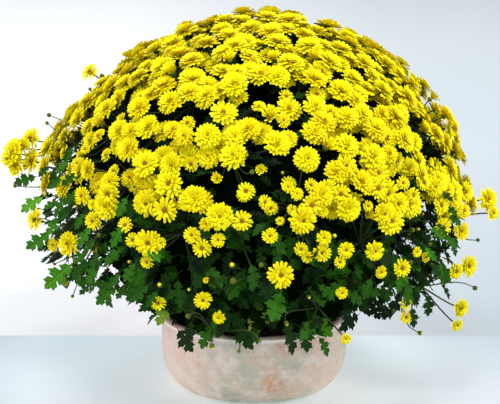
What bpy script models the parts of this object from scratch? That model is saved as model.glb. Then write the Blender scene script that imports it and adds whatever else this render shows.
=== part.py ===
"""Pot chrysanthemum: a low terracotta bowl filled with soil, eight leafy stems that
make one round bush, and a dome of yellow flower sprays over it.

Metres, +Z up. The origin is under the middle of the bowl's foot, and the bush is
seen from -Y, with +X to the right.
"""

import math
import random

import bmesh
import bpy
from mathutils import Matrix, Vector
from mathutils.bvhtree import BVHTree
from mathutils.kdtree import KDTree

SEED = 11
GAP = 0.0004
WELD = 0.000001

# Bowl: a wide terracotta pot with a rounded foot and lip
BOWL_RADIUS = 0.112
BOWL_HEIGHT = 0.089
FOOT_RADIUS = 0.081
SIDE_FROM = 0.063
BEND_RISE = 0.045
BOWL_WALL = 0.010
BOWL_FLOOR = 0.010
LIP_ROUND = 0.0035
BOWL_SIDES = 40

# Soil, with a plain hole for each stem
SOIL_TOP = 0.075
SOIL_CROWN = 0.003
SOIL_SIDES = 24
STEM_COUNT = 8
STEM_RADIUS = 0.0036
STEM_RING = 0.038
STEM_DEPTH = 0.022
HOLE_RADIUS = STEM_RADIUS + 0.0011
HOLE_SIDES = 6

# Outside of the bush: half an ellipsoid over a belt that tucks in a little
HEART = Vector((-0.0024, 0.0, 0.227))
BUSH_RADIUS = 0.262
DOME_RISE = 0.227
BELT_DROP = 0.200
BELT_TUCK = 0.35
# The upper left shoulder, which is flatter than the rest of the dome
SHOULDER = Vector((-0.62, -0.10, 0.78))
SHOULDER_SPREAD = 0.45
SHOULDER_DROP = 0.085

# Smaller core of foliage, in shares of the outside, seen from the heart
CORE_SHARE = 0.74
CORE_BOTTOM = 0.115
CORE_BORE = 0.022
CORE_STEPS = 4
CORE_RUFFLE = 0.055
SECTOR_GAP = math.radians(1.2)

# The place the bush is seen from, which the sparse flowers are sighted from
VIEW_TARGET = Vector((-0.0049, 0.0, 0.2245))
VIEW_DISTANCE = 2.4
VIEW_RISE = math.radians(14)
VIEW_WIDTH_PER_METRE = 36 / 144
PICTURE = (500, 404)

# Flowers
PETALS = 5
CROWD_ON_ROUND = 630
CROWD_EVENED_TO = -0.30
EVEN_REACH = 1.2
EVEN_ROUNDS = 40
EVEN_STEP = 0.12
CROWD_RADIUS = 0.0195
CROWD_SHIFT = 0.0016
CROWD_DEPTH = (0.955, 1.0)
NOTCH = 0.76
CROWD_EDGE = 0.17
CROWD_EDGE_RIGHT = 0.20
BACK_ON_ROUND = 150
BACK_LOWEST = -0.60
BACK_FROM = 0.12
BACK_RADIUS = (0.007, 0.0135)
LEAST_RADIUS = 0.0035
STALK_RADIUS = 0.0024
STALK_PAST_ROOT = 0.0042
# Sparse flowers of the belt and the outliers: across, down and width in picture points
SPARSE_FLOWERS = (
    (90, 72, 15), (12, 153, 18), (16, 166, 12), (31, 139, 14), (32, 161, 17),
    (35, 220, 16), (53, 245, 11), (68, 244, 20), (77, 163, 10), (82, 196, 16),
    (108, 194, 20), (93, 221, 16), (125, 225, 14), (148, 243, 26), (147, 262, 13),
    (158, 303, 15), (192, 235, 17), (202, 248, 19), (206, 224, 14), (218, 240, 15),
    (203, 300, 18), (219, 318, 13), (206, 280, 9), (242, 221, 21), (270, 236, 16),
    (281, 275, 27), (301, 249, 14), (324, 238, 15), (342, 293, 12), (346, 339, 11),
    (346, 250, 16), (391, 221, 25), (398, 204, 20), (375, 251, 18), (402, 268, 16),
    (381, 272, 12), (426, 257, 9), (406, 304, 11), (406, 317, 12), (443, 227, 15),
    (441, 205, 15), (465, 192, 16), (457, 208, 13), (488, 199, 17), (493, 213, 11),
    (461, 231, 15), (468, 266, 17), (456, 271, 13), (461, 308, 15), (457, 325, 11),
)

# Sprays: the shoots that carry the flowers
SPRAYS_ON_ROUND = 62
SPRAY_LOWEST = -0.62
SHOOT_RADIUS = 0.0021
SHOOT_TIP = 0.0004
SHOOT_TAPER = 0.010
KNOB_RADIUS = 0.0055
KNOB_SHARE = 0.84
SEAM_CLEAR = math.radians(2.4)

# Large leaves of each stem: turn in the sector, rise of the root and of the blade, length
LEAF_LENGTH = 0.074
LEAF_WIDTH = 0.040
LEAF_THICK = 0.0020
LEAF_SUNK = 0.006
LEAF_DROOP = 0.22
LEAF_FOLD = 0.20
LEAF_OUTLINE = ((0.0, 0.045), (0.27, 0.05), (0.46, 0.46), (0.55, 0.24), (0.74, 0.40), (0.80, 0.20))
LEAF_RIB = (0.40, 0.74)
LEAF_ROWS = (
    (-13, -38, -58, 0.90), (0, -42, -66, 0.98), (13, -37, -52, 0.88),
    (-8, -20, -24, 1.05), (9, -22, -30, 1.0), (-15, -6, -4, 0.92),
    (2, -4, 0, 1.0), (15, -8, -10, 0.92),
)
LEAF_TRIES = (0, -9, 9, -18, 18, -27, 27)


def material(name, colour, roughness):
    made = bpy.data.materials.new(name)
    made.use_nodes = True
    shader = made.node_tree.nodes["Principled BSDF"]
    shader.inputs["Base Color"].default_value = (*colour, 1)
    shader.inputs["Roughness"].default_value = roughness
    return made


def new_object(name, mesh, collection, finish=None):
    made = bpy.data.objects.new(name, mesh)
    collection.objects.link(made)
    if finish:
        mesh.materials.clear()
        mesh.materials.append(finish)
    return made


def mesh_from(builder, name):
    """A mesh from a bmesh, with its faces turned outwards."""
    bmesh.ops.recalc_face_normals(builder, faces=builder.faces)
    mesh = bpy.data.meshes.new(name)
    builder.to_mesh(mesh)
    builder.free()
    return mesh


def evaluated_mesh(made):
    """The mesh that an object's modifiers or its curve settings give."""
    bpy.context.view_layer.update()
    graph = bpy.context.evaluated_depsgraph_get()
    return bpy.data.meshes.new_from_object(made.evaluated_get(graph))


def welded_mesh(made):
    """The same mesh, with the caps of a curve or the seam of a turning closed."""
    mesh = evaluated_mesh(made)
    builder = bmesh.new()
    builder.from_mesh(mesh)
    bmesh.ops.remove_doubles(builder, verts=builder.verts, dist=WELD)
    builder.to_mesh(mesh)
    builder.free()
    return mesh


def combine(base, pieces, operation):
    """Joins the pieces to the base, or cuts them from it, with one Boolean."""
    group = bpy.data.collections.new("pieces to combine")
    bpy.context.scene.collection.children.link(group)
    for piece in pieces:
        group.objects.link(piece)
    step = base.modifiers.new("combine", "BOOLEAN")
    step.operation = operation
    step.operand_type = "COLLECTION"
    step.collection = group
    step.solver = "MANIFOLD"
    combined = evaluated_mesh(base)
    base.modifiers.remove(step)
    finishes = list(base.data.materials)
    base.data = combined
    base.data.materials.clear()
    for finish in finishes:
        base.data.materials.append(finish)
    for piece in pieces:
        bpy.data.objects.remove(piece)
    bpy.data.collections.remove(group)


def turned(name, profile, sides, collection, finish):
    """A body turned about the Z axis from a profile of radius and height."""
    mesh = bpy.data.meshes.new(name)
    edges = [(i, i + 1) for i in range(len(profile) - 1)]
    mesh.from_pydata([(radius, 0, height) for radius, height in profile], edges, [])
    made = new_object(name, mesh, collection)
    screw = made.modifiers.new("turn", "SCREW")
    screw.steps = sides
    screw.render_steps = sides
    screw.use_merge_vertices = True
    screw.merge_threshold = WELD
    made.data = welded_mesh(made)
    made.modifiers.clear()
    made.data.materials.append(finish)
    return made


def bowl_outer():
    """The bowl's outer side, lip to foot: upright, then round in to the foot."""
    bend = BOWL_RADIUS - FOOT_RADIUS
    points = [(BOWL_RADIUS, BOWL_HEIGHT - LIP_ROUND), (BOWL_RADIUS, SIDE_FROM)]
    for turn in (25, 50, 70, 90):
        angle = math.radians(turn)
        points.append((FOOT_RADIUS + bend * math.cos(angle), BEND_RISE * (1 - math.sin(angle))))
    return points


def bowl_inner(offset):
    """The bowl's hollow, floor to lip, moved off its wall by an offset."""
    radius = BOWL_RADIUS - BOWL_WALL - offset
    floor = BOWL_FLOOR + offset
    corner = FOOT_RADIUS - BOWL_WALL
    return [(corner, floor), (radius - 0.010, floor + BEND_RISE / 2), (radius, floor + BEND_RISE)]


def make_bowl(collection, finish):
    inner = bowl_inner(0)
    lip = [(inner[-1][0], BOWL_HEIGHT - LIP_ROUND), (inner[-1][0] + LIP_ROUND, BOWL_HEIGHT)]
    lip.append((BOWL_RADIUS - LIP_ROUND, BOWL_HEIGHT))
    profile = [(0, BOWL_FLOOR)] + inner + lip + bowl_outer() + [(0, 0)]
    made = turned("bowl", profile, BOWL_SIDES, collection, finish)
    made.data.shade_smooth()
    made.data.set_sharp_from_angle(angle=math.radians(40))
    return made


def stem_angle(number):
    return math.tau * number / STEM_COUNT


def on_circle(angle, radius, height):
    return Vector((radius * math.cos(angle), radius * math.sin(angle), height))


def make_soil(collection, finish):
    inner = bowl_inner(GAP)
    edge = inner[-1][0]
    top = [(0, SOIL_TOP + SOIL_CROWN), (0.6 * edge, SOIL_TOP + 0.7 * SOIL_CROWN), (edge, SOIL_TOP)]
    profile = top + inner[::-1] + [(0, BOWL_FLOOR + GAP)]
    made = turned("soil", profile, SOIL_SIDES, collection, finish)
    holes = []
    for number in range(STEM_COUNT):
        builder = bmesh.new()
        place = on_circle(stem_angle(number), STEM_RING, SOIL_TOP)
        bmesh.ops.create_cone(
            builder, cap_ends=True, segments=HOLE_SIDES, radius1=HOLE_RADIUS,
            radius2=HOLE_RADIUS, depth=2 * STEM_DEPTH, matrix=Matrix.Translation(place))
        holes.append(bpy.data.objects.new("hole", mesh_from(builder, "hole")))
    combine(made, holes, "DIFFERENCE")
    return made


def golden_directions(count_round, lowest):
    """Evenly spread directions, from straight up down to a lowest slope."""
    turn = math.pi * (3 - math.sqrt(5))
    found = []
    for i in range(count_round):
        up = 1 - (2 * i + 1) / count_round
        if up < lowest:
            break
        flat = math.sqrt(1 - up * up)
        found.append(Vector((flat * math.cos(i * turn), flat * math.sin(i * turn), up)))
    return found


def evened(directions, count_round):
    """The same directions, each pushed off its neighbours until they lie evenly."""
    reach = EVEN_REACH * math.sqrt(2 / math.sqrt(3) * 4 * math.pi / count_round)
    for _ in range(EVEN_ROUNDS):
        tree = KDTree(len(directions))
        for number, direction in enumerate(directions):
            tree.insert(direction, number)
        tree.balance()
        moved = []
        for direction in directions:
            push = Vector((0, 0, 0))
            for near, _, distance in tree.find_n(direction, 7)[1:]:
                push += (direction - near).normalized() * max(0, reach - distance)
            moved.append((direction + EVEN_STEP * push).normalized())
        directions = moved
    return directions


def fullness(direction):
    """How full the dome is in a direction: 1 all round, less at the flatter shoulder."""
    return 1 - SHOULDER_DROP * math.exp(-((direction - SHOULDER).length / SHOULDER_SPREAD) ** 2)


def dome_direction(point):
    """The direction of a point from the heart, with the dome taken as half a ball."""
    away = point - HEART
    return Vector((away.x / BUSH_RADIUS, away.y / BUSH_RADIUS, away.z / DOME_RISE))


def outside(direction):
    """The point of the bush's outside that a direction stands for."""
    flat = math.hypot(direction.x, direction.y)
    if direction.z >= 0:
        reach, rise = BUSH_RADIUS, DOME_RISE
    else:
        reach, rise = BUSH_RADIUS * flat ** (BELT_TUCK - 1), BELT_DROP
    away = Vector((direction.x * reach, direction.y * reach, direction.z * rise))
    return HEART + fullness(direction) * away


def share_of(point):
    """How far out a point lies: 1 on the bush's outside, less inside it."""
    way = dome_direction(point)
    if way.z >= 0:
        return way.length / fullness(way.normalized())
    sink = -way.z * DOME_RISE / BELT_DROP
    tuck = max(1 - sink * sink, 0.3) ** (BELT_TUCK / 2)
    return math.hypot(way.x, way.y) / tuck + max(0, sink - 0.75)


def sighted(across, down):
    """The nearest point of the bush on the sight line of a picture point."""
    level = Vector((0, math.cos(VIEW_RISE), -math.sin(VIEW_RISE)))
    above = Vector((0, math.sin(VIEW_RISE), math.cos(VIEW_RISE)))
    eye = VIEW_TARGET - VIEW_DISTANCE * level
    step_across = (across - PICTURE[0] / 2) / PICTURE[0] * VIEW_WIDTH_PER_METRE
    step_up = (PICTURE[1] / 2 - down) / PICTURE[0] * VIEW_WIDTH_PER_METRE
    sight = (level + Vector((step_across, 0, 0)) + step_up * above).normalized()
    nearest, least = None, 9
    distance = VIEW_DISTANCE - 0.35
    while distance < VIEW_DISTANCE + 0.1:
        point = eye + distance * sight
        share = share_of(point)
        if share < least:
            nearest, least = point, share
        if share <= 0.985:
            break
        distance += 0.001
    return nearest


class Flower:
    """A flower head: its place, the way it faces and its radius."""

    def __init__(self, place, radius, chance):
        self.place = place
        self.radius = radius
        tilt = Vector([chance.uniform(-0.22, 0.22) for _ in range(3)])
        self.out = (place - HEART).normalized()
        self.facing = (self.out + tilt + Vector((0, 0, 0.12))).normalized()
        self.turn = chance.uniform(0, math.tau)


def crowd_edge(direction):
    """How low the crowded flowers reach: lower on the right."""
    return CROWD_EDGE - CROWD_EDGE_RIGHT * max(0, direction.x) ** 2


def crowd(chance):
    """Flowers that cover the dome, on a golden spiral, each a little off its place."""
    found = []
    for direction in evened(golden_directions(CROWD_ON_ROUND, CROWD_EVENED_TO), CROWD_ON_ROUND):
        shift = Vector([chance.uniform(-1, 1) for _ in range(3)]) * CROWD_SHIFT
        depth = chance.uniform(*CROWD_DEPTH)
        radius = CROWD_RADIUS * chance.uniform(0.88, 1.0)
        if direction.z > crowd_edge(direction):
            place = HEART + (outside(direction) - HEART) * depth + shift
            found.append(Flower(place, radius, chance))
    return found


def sparse(chance):
    """The belt's flowers: those in view one by one, those behind by rule."""
    found = []
    for across, down, width in SPARSE_FLOWERS:
        radius = width / 2 / PICTURE[0] * VIEW_WIDTH_PER_METRE * VIEW_DISTANCE
        found.append(Flower(sighted(across, down), radius, chance))
    for direction in golden_directions(BACK_ON_ROUND, BACK_LOWEST):
        depth = chance.uniform(0.93, 1.02)
        radius = chance.uniform(*BACK_RADIUS)
        if direction.y > BACK_FROM and direction.z < crowd_edge(direction):
            found.append(Flower(HEART + (outside(direction) - HEART) * depth, radius, chance))
    return found


def keep_apart(flowers):
    """Caps each flower's radius at half the way to its nearest neighbour."""
    tree = KDTree(len(flowers))
    for number, flower in enumerate(flowers):
        tree.insert(flower.place, number)
    tree.balance()
    for flower in flowers:
        nearest = tree.find_n(flower.place, 2)[1][2]
        flower.radius = max(LEAST_RADIUS, min(flower.radius, nearest / 2 - GAP))


def flower_mesh(flower, root):
    """A star of petals over a cup that narrows into a three-sided stalk down to its root."""
    out = flower.facing
    side = out.orthogonal().normalized()
    side = Matrix.Rotation(flower.turn, 3, out) @ side
    across = out.cross(side)
    builder = bmesh.new()
    rim = []
    for i in range(2 * PETALS):
        angle = math.pi * i / PETALS
        reach = flower.radius * (1.0 if i % 2 == 0 else NOTCH)
        lift = 0.02 if i % 2 == 0 else -0.06
        spoke = side * math.cos(angle) + across * math.sin(angle)
        rim.append(builder.verts.new(flower.place + reach * spoke + lift * flower.radius * out))
    crown = builder.verts.new(flower.place + 0.24 * flower.radius * out)
    throat = flower.place - 0.34 * flower.radius * out
    foot = builder.verts.new(root + STALK_PAST_ROOT * (root - throat).normalized())
    collar = []
    for i in range(3):
        angle = math.tau * i / 3
        spoke = side * math.cos(angle) + across * math.sin(angle)
        collar.append(builder.verts.new(throat + STALK_RADIUS * spoke))
    count = len(rim)
    for i in range(count):
        after = rim[(i + 1) % count]
        near = i * 3 // count
        beyond = (i + 1) * 3 // count
        builder.faces.new((rim[i], after, crown))
        builder.faces.new((after, rim[i], collar[near]))
        if beyond != near:
            builder.faces.new((after, collar[near], collar[beyond % 3]))
    for i in range(3):
        builder.faces.new((collar[i], collar[(i + 1) % 3], foot))
    return mesh_from(builder, "flower")


def stalk_object(name, points, radii, resolution):
    """A round stalk through points, as thick at each as its radius."""
    curve = bpy.data.curves.new(name, "CURVE")
    curve.dimensions = "3D"
    curve.bevel_depth = 1.0
    curve.bevel_resolution = resolution
    curve.use_fill_caps = True
    spline = curve.splines.new("POLY")
    spline.points.add(len(points) - 1)
    for place, point, radius in zip(spline.points, points, radii):
        place.co = (*point, 1)
        place.radius = radius
    holder = bpy.data.objects.new(name, curve)
    bpy.context.scene.collection.objects.link(holder)
    mesh = welded_mesh(holder)
    bpy.data.objects.remove(holder)
    mesh.name = name
    return bpy.data.objects.new(name, mesh)


def tree_of(objects):
    """One search tree over the meshes of several objects."""
    points, faces = [], []
    for made in objects:
        start = len(points)
        points += [vertex.co.copy() for vertex in made.data.vertices]
        faces += [[start + i for i in face.vertices] for face in made.data.polygons]
    return BVHTree.FromPolygons(points, faces)


def off_seam(direction):
    """Turns a direction that points between two stems a little into the nearer one."""
    sector = math.tau / STEM_COUNT
    angle = math.atan2(direction.y, direction.x)
    within = (angle + sector / 2) % sector
    short = min(within, sector - within)
    if short >= SEAM_CLEAR:
        return direction
    turn = SEAM_CLEAR - short if within < sector / 2 else short - SEAM_CLEAR
    return Matrix.Rotation(turn, 3, "Z") @ direction


def shoot_object(name, tree, knob):
    """A shoot from the core's surface out to its knob, pointed where it leaves the core."""
    out = (knob - HEART).normalized()
    seat = tree.ray_cast(knob, -out)[0]
    shoot = None
    while shoot is None or tree_of([shoot]).overlap(tree):
        if shoot:
            bpy.data.objects.remove(shoot)
        seat = seat + GAP * out
        points = [seat, seat + SHOOT_TAPER * out, knob, knob + KNOB_RADIUS * out]
        shoot = stalk_object(name, points, (SHOOT_TIP, SHOOT_RADIUS, KNOB_RADIUS, SHOOT_TIP), 0)
    return shoot


def make_sprays(cores, collection, finish):
    """One body for each shoot: its knob, its stalks and the flowers nearest to it."""
    chance = random.Random(SEED)
    flowers = crowd(chance) + sparse(chance)
    keep_apart(flowers)
    directions = golden_directions(SPRAYS_ON_ROUND, SPRAY_LOWEST)
    ends = [off_seam(outside(direction) - HEART) for direction in directions]
    aims = [end.normalized() for end in ends]
    owned = [[] for _ in ends]
    for flower in flowers:
        nearest = max(range(len(aims)), key=lambda i: aims[i].dot(flower.out))
        owned[nearest].append(flower)
    tree = tree_of(cores)
    made = []
    for end, held in zip(ends, owned):
        if not held:
            continue
        name = f"spray_{len(made) + 1:02d}"
        knob = HEART + KNOB_SHARE * end
        shoot = shoot_object(name, tree, knob)
        shoot.data.materials.clear()
        shoot.data.materials.append(finish)
        collection.objects.link(shoot)
        heads = [bpy.data.objects.new("flower", flower_mesh(flower, knob)) for flower in held]
        combine(shoot, heads, "UNION")
        made.append(shoot)
    return made


def core_profile():
    """The core's cut through one side, counter-clockwise from its lowest inner corner."""
    points = [(CORE_BORE, CORE_BOTTOM), (0.150, CORE_BOTTOM - 0.002)]
    for up in (-0.42, -0.10, 0.20, 0.48, 0.72, 0.90):
        edge = outside(Vector((math.sqrt(1 - up * up), 0, up))) - HEART
        points.append((CORE_SHARE * edge.x, HEART.z + CORE_SHARE * edge.z))
    points.append((CORE_BORE, HEART.z + CORE_SHARE * DOME_RISE))
    return points


def core_object(number, collection, finish):
    """One eighth of the core: its cut spun about the axis, with a ruffled outside."""
    angle = math.tau / STEM_COUNT - SECTOR_GAP
    start = stem_angle(number) - angle / 2
    profile = core_profile()
    builder = bmesh.new()
    corners = [builder.verts.new(on_circle(start, radius, height)) for radius, height in profile]
    cut = builder.faces.new(corners)
    bmesh.ops.spin(
        builder, geom=[cut], cent=(0, 0, 0), axis=(0, 0, 1), angle=angle, steps=CORE_STEPS)
    middle = Vector((0, 0, HEART.z))
    for corner in builder.verts:
        turn = round((math.atan2(corner.co.y, corner.co.x) - start) % math.tau / angle * CORE_STEPS)
        radius = math.hypot(corner.co.x, corner.co.y)
        misses = [math.hypot(radius - r, corner.co.z - z) for r, z in profile]
        row = misses.index(min(misses))
        if 0 < row < len(profile) - 1:
            ruffle = 1 + CORE_RUFFLE * (1 if (row + turn) % 2 else -1)
            full = fullness(dome_direction(corner.co).normalized())
            corner.co = middle + (corner.co - middle) * ruffle * full
    bmesh.ops.triangulate(builder, faces=builder.faces)
    return new_object(f"leafy_stem_{number + 1}", mesh_from(builder, "core"), collection, finish)


def leaf_mesh(length, width, thick):
    """A lobed blade on its stalk: one outline, with a rib raised on both faces."""
    builder = bmesh.new()

    def point(along, aside, lift):
        bend = -LEAF_DROOP * along * along * length + LEAF_FOLD * abs(aside) * width
        return builder.verts.new((aside * width, along * length, bend + lift))

    sides = [[point(along, sign * aside, 0) for along, aside in LEAF_OUTLINE] for sign in (-1, 1)]
    tip = point(1, 0, 0)
    for face in (-1, 1):
        near, far = [point(along, 0, face * thick / 2) for along in LEAF_RIB]
        builder.faces.new((sides[0][0], sides[1][0], near))
        for edge in sides:
            for i in range(3):
                builder.faces.new((edge[i], edge[i + 1], near))
            builder.faces.new((near, edge[3], far))
            for i in range(3, 5):
                builder.faces.new((edge[i], edge[i + 1], far))
            builder.faces.new((edge[5], tip, far))
    return mesh_from(builder, "leaf")


def leaf_place(number, row, dip):
    """Where a leaf of a stem's row grows from the core, and how it lies."""
    turn, rise, pitch, _ = row
    angle = stem_angle(number) + math.radians(turn)
    slope = math.radians(rise)
    edge = outside(on_circle(angle, math.cos(slope), math.sin(slope))) - HEART
    lean = math.radians(pitch + dip)
    heading = on_circle(angle, math.cos(lean), math.sin(lean))
    side = Vector((-math.sin(angle), math.cos(angle), 0))
    spin = Matrix((-side, heading, heading.cross(side))).transposed()
    return (HEART + CORE_SHARE * edge), heading, spin


def make_leaves(number, core, sprays):
    """The large leaves of one stem, each bent up or down until it is clear of the flowers."""
    tree = tree_of([core])
    leaves = []
    for row in LEAF_ROWS:
        for dip in LEAF_TRIES:
            aim, heading, spin = leaf_place(number, row, dip)
            inward = (HEART - aim).normalized()
            root = tree.ray_cast(aim - 0.1 * inward, inward)[0]
            if root is None:
                continue
            place = Matrix.Translation(root + LEAF_SUNK * (inward - 0.5 * heading)) @ spin.to_4x4()
            probe = leaf_mesh(row[3] * LEAF_LENGTH, 1.06 * LEAF_WIDTH, LEAF_THICK + 4 * GAP)
            probe.transform(place)
            tried = bpy.data.objects.new("probe", probe)
            clear = not tree_of([tried]).overlap(sprays)
            bpy.data.objects.remove(tried)
            if clear:
                blade = leaf_mesh(row[3] * LEAF_LENGTH, LEAF_WIDTH, LEAF_THICK)
                blade.transform(place)
                leaves.append(bpy.data.objects.new("leaf", blade))
                break
    return leaves


def make_stem(number):
    """The woody stem, upright in its hole and then leaning out into the core."""
    angle = stem_angle(number)
    points = (
        on_circle(angle, STEM_RING, SOIL_TOP - STEM_DEPTH + GAP),
        on_circle(angle, STEM_RING, SOIL_TOP + 0.006),
        on_circle(angle, STEM_RING + 0.030, CORE_BOTTOM + 0.012),
    )
    return stalk_object("stem", points, [STEM_RADIUS] * 3, 1)


def build():
    for old in list(bpy.data.objects):
        bpy.data.objects.remove(old)
    plant = bpy.data.collections.new("pot_chrysanthemum")
    bpy.context.scene.collection.children.link(plant)
    terracotta = material("whitewashed terracotta", (0.74, 0.55, 0.45), 0.85)
    earth = material("dark potting soil", (0.045, 0.03, 0.02), 0.95)
    green = material("dark green leaf", (0.035, 0.10, 0.02), 0.55)
    yellow = material("bright yellow petal", (0.95, 0.78, 0.01), 0.5)
    make_bowl(plant, terracotta)
    make_soil(plant, earth)
    cores = [core_object(number, plant, green) for number in range(STEM_COUNT)]
    sprays = make_sprays(cores, plant, yellow)
    flower_tree = tree_of(sprays)
    for number, core in enumerate(cores):
        leaves = make_leaves(number, core, flower_tree)
        combine(core, leaves + [make_stem(number)], "UNION")


build()
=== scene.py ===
import math
import random
from itertools import product

import bmesh
import bpy
from mathutils import Matrix, Vector, noise
from mathutils.kdtree import KDTree


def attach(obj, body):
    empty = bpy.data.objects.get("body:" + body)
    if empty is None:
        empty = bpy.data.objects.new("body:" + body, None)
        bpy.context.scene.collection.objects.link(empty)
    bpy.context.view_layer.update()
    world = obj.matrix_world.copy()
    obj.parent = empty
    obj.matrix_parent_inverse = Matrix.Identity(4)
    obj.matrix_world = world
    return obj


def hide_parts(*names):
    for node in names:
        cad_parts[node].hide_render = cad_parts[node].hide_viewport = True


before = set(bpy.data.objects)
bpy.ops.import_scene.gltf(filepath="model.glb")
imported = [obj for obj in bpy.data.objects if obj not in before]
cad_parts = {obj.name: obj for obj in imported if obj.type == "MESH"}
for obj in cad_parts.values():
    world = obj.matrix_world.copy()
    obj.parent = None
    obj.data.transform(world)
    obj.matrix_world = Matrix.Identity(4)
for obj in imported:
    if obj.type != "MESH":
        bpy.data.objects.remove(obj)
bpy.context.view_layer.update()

# The placing rule of the flowers, with the same values as the solids
SEED = 11
HEART = Vector((-0.0024, 0.0, 0.227))
BUSH_RADIUS = 0.262
DOME_RISE = 0.227
BELT_DROP = 0.200
BELT_TUCK = 0.35
LEAST_TUCK = 0.3
FOOT_FROM = 0.75
SHOULDER = Vector((-0.62, -0.10, 0.78))
SHOULDER_SPREAD = 0.45
SHOULDER_DROP = 0.085
VIEW_TARGET = Vector((-0.0049, 0.0, 0.2245))
VIEW_DISTANCE = 2.4
VIEW_RISE = math.radians(14)
VIEW_LENS = 144
VIEW_SENSOR = 36
PICTURE = (500, 404)
# The stretch of a sight line that is searched, from before the target to behind it, and its step
SIGHT_BEFORE = 0.35
SIGHT_BEHIND = 0.1
SIGHT_STEP = 0.001
SIGHT_SHARE = 0.985
CROWD_ON_ROUND = 630
CROWD_EVENED_TO = -0.30
EVEN_REACH = 1.2
EVEN_ROUNDS = 40
EVEN_STEP = 0.12
CROWD_SHIFT = 0.0016
CROWD_DEPTH = (0.955, 1.0)
CROWD_EDGE = 0.17
CROWD_EDGE_RIGHT = 0.20
BACK_ON_ROUND = 150
BACK_LOWEST = -0.60
BACK_FROM = 0.12
BACK_RADIUS = (0.007, 0.0135)
BACK_DEPTH = (0.93, 1.02)
# How far a flower's face strays from straight outwards, and how far it looks up
FACING_TILT = 0.22
FACING_LIFT = 0.12
# Sparse flowers of the belt and the outliers: across, down and width in picture points
SPARSE_FLOWERS = (
    (90, 72, 17), (12, 153, 22), (16, 166, 16), (31, 139, 18), (32, 161, 19), (35, 220, 16),
    (53, 245, 11), (68, 244, 20), (77, 163, 10), (82, 196, 16), (108, 194, 20), (93, 221, 16),
    (125, 225, 14), (148, 243, 26), (147, 262, 13), (158, 303, 15), (192, 235, 17), (202, 248, 19),
    (206, 224, 14), (218, 240, 15), (203, 300, 18), (219, 318, 13), (206, 280, 9), (242, 221, 21),
    (270, 236, 16), (281, 275, 27), (301, 249, 14), (324, 238, 15), (342, 293, 12), (346, 339, 11),
    (346, 250, 16), (391, 221, 25), (398, 204, 20), (375, 251, 18), (402, 268, 16), (381, 272, 12),
    (426, 257, 9), (406, 304, 11), (406, 317, 12), (443, 227, 15), (441, 205, 15), (465, 192, 16),
    (457, 208, 13), (488, 199, 17), (493, 213, 11), (461, 231, 15), (468, 266, 17), (456, 271, 13),
    (461, 308, 15), (457, 325, 11),
)
# Smaller blooms among these, which only this finer version has
MORE_FLOWERS = (
    (22, 147, 17), (60, 186, 9), (85, 149, 9), (93, 205, 10), (161, 243, 11), (218, 218, 15),
    (246, 191, 18), (265, 202, 14), (280, 221, 9), (288, 187, 12), (297, 194, 13), (311, 185, 13),
    (292, 210, 11), (312, 205, 22), (323, 212, 11), (322, 253, 18), (307, 257, 12), (328, 188, 17),
    (341, 194, 19), (348, 208, 15), (346, 166, 22), (378, 173, 22), (378, 188, 20), (368, 206, 10),
    (403, 183, 12), (413, 195, 13), (423, 183, 13), (435, 187, 17), (454, 200, 15), (464, 211, 12),
    (417, 252, 9), (246, 155, 10), (165, 210, 24), (189, 201, 22), (8, 158, 14), (447, 190, 15),
    (384, 214, 20), (340, 262, 12), (110, 182, 18), (133, 240, 14),
)
TOWARDS_VIEWER = 0.9
# How much wider than in the picture they are, in front and at the sides, where they are seen aslant
SPARSE_FULLER = (1.08, 1.50)
SPRAYS_ON_ROUND = 62
SPRAY_LOWEST = -0.62
KNOB_SHARE = 0.84
STEM_COUNT = 8
STEM_RING = 0.038
SECTOR = math.tau / STEM_COUNT
SEAM_CLEAR = math.radians(2.4)

# True sizes of the flowers, which are smaller and closer than the solids'
CROWD_RADIUS = (0.0150, 0.0180)
BETWEEN_COUNT = 5200
BETWEEN_UP = (-0.05, 1)
EDGE_FRAY = (-0.02, 0.03)
BETWEEN_APART = 0.0185
# At the top and on the right they stand closer
BETWEEN_CLOSER = 0.0172
CLOSER_ABOVE = 0.45
CLOSER_RIGHT_OF = 0.4
BETWEEN_DEPTH = (0.905, 0.985)
BETWEEN_RADIUS = (0.0120, 0.0165)
# Dark hollows between the flowers: across, down and radius in picture points
HOLLOWS = (
    (221, 41, 5), (221, 57, 4), (298, 38, 3), (192, 73, 5), (176, 61, 4), (276, 91, 7), (251, 102, 5),
    (157, 109, 10), (125, 98, 5), (89, 113, 5), (259, 122, 4), (312, 118, 3), (341, 78, 3), (343, 97, 6),
    (106, 135, 4), (238, 166, 9), (258, 160, 10), (244, 188, 10), (262, 192, 10), (226, 205, 8),
    (292, 164, 9), (310, 172, 9), (328, 174, 7), (352, 188, 6), (140, 198, 8), (176, 186, 5),
    (236, 214, 9), (258, 216, 8), (280, 206, 6), (70, 150, 6), (362, 208, 8), (106, 172, 6),
    (280, 226, 10), (186, 224, 5), (60, 176, 9), (384, 196, 4), (350, 218, 8), (368, 232, 10),
    (412, 214, 7), (414, 232, 9), (330, 228, 8), (392, 242, 8), (298, 228, 8), (362, 196, 5),
    (70, 190, 6), (100, 214, 6), (134, 214, 7), (275, 178, 9), (290, 190, 8), (318, 222, 8),
    (270, 212, 9), (230, 180, 8), (246, 206, 8), (296, 212, 7), (262, 174, 9), (398, 176, 6),
    (386, 186, 6), (402, 194, 7), (418, 202, 7), (426, 214, 7), (404, 214, 7), (376, 198, 6),
    (84, 188, 7), (74, 206, 7), (92, 202, 6),
)
# How far filling flowers keep off a hollow, and how far crowded ones in it shrink and sink
HOLLOW_EDGE = 5
HOLLOW_SHRINK = 0.56
HOLLOW_SINK = 0.94
# Smaller gaps by rule: how fine they are, and from which value of the noise, low and high on the bush
GAP_FINENESS = 34
GAP_FROM = (0.05, 0.20)
GAP_CLOSING = 1.6
GAP_LOWER = 0.05

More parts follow.
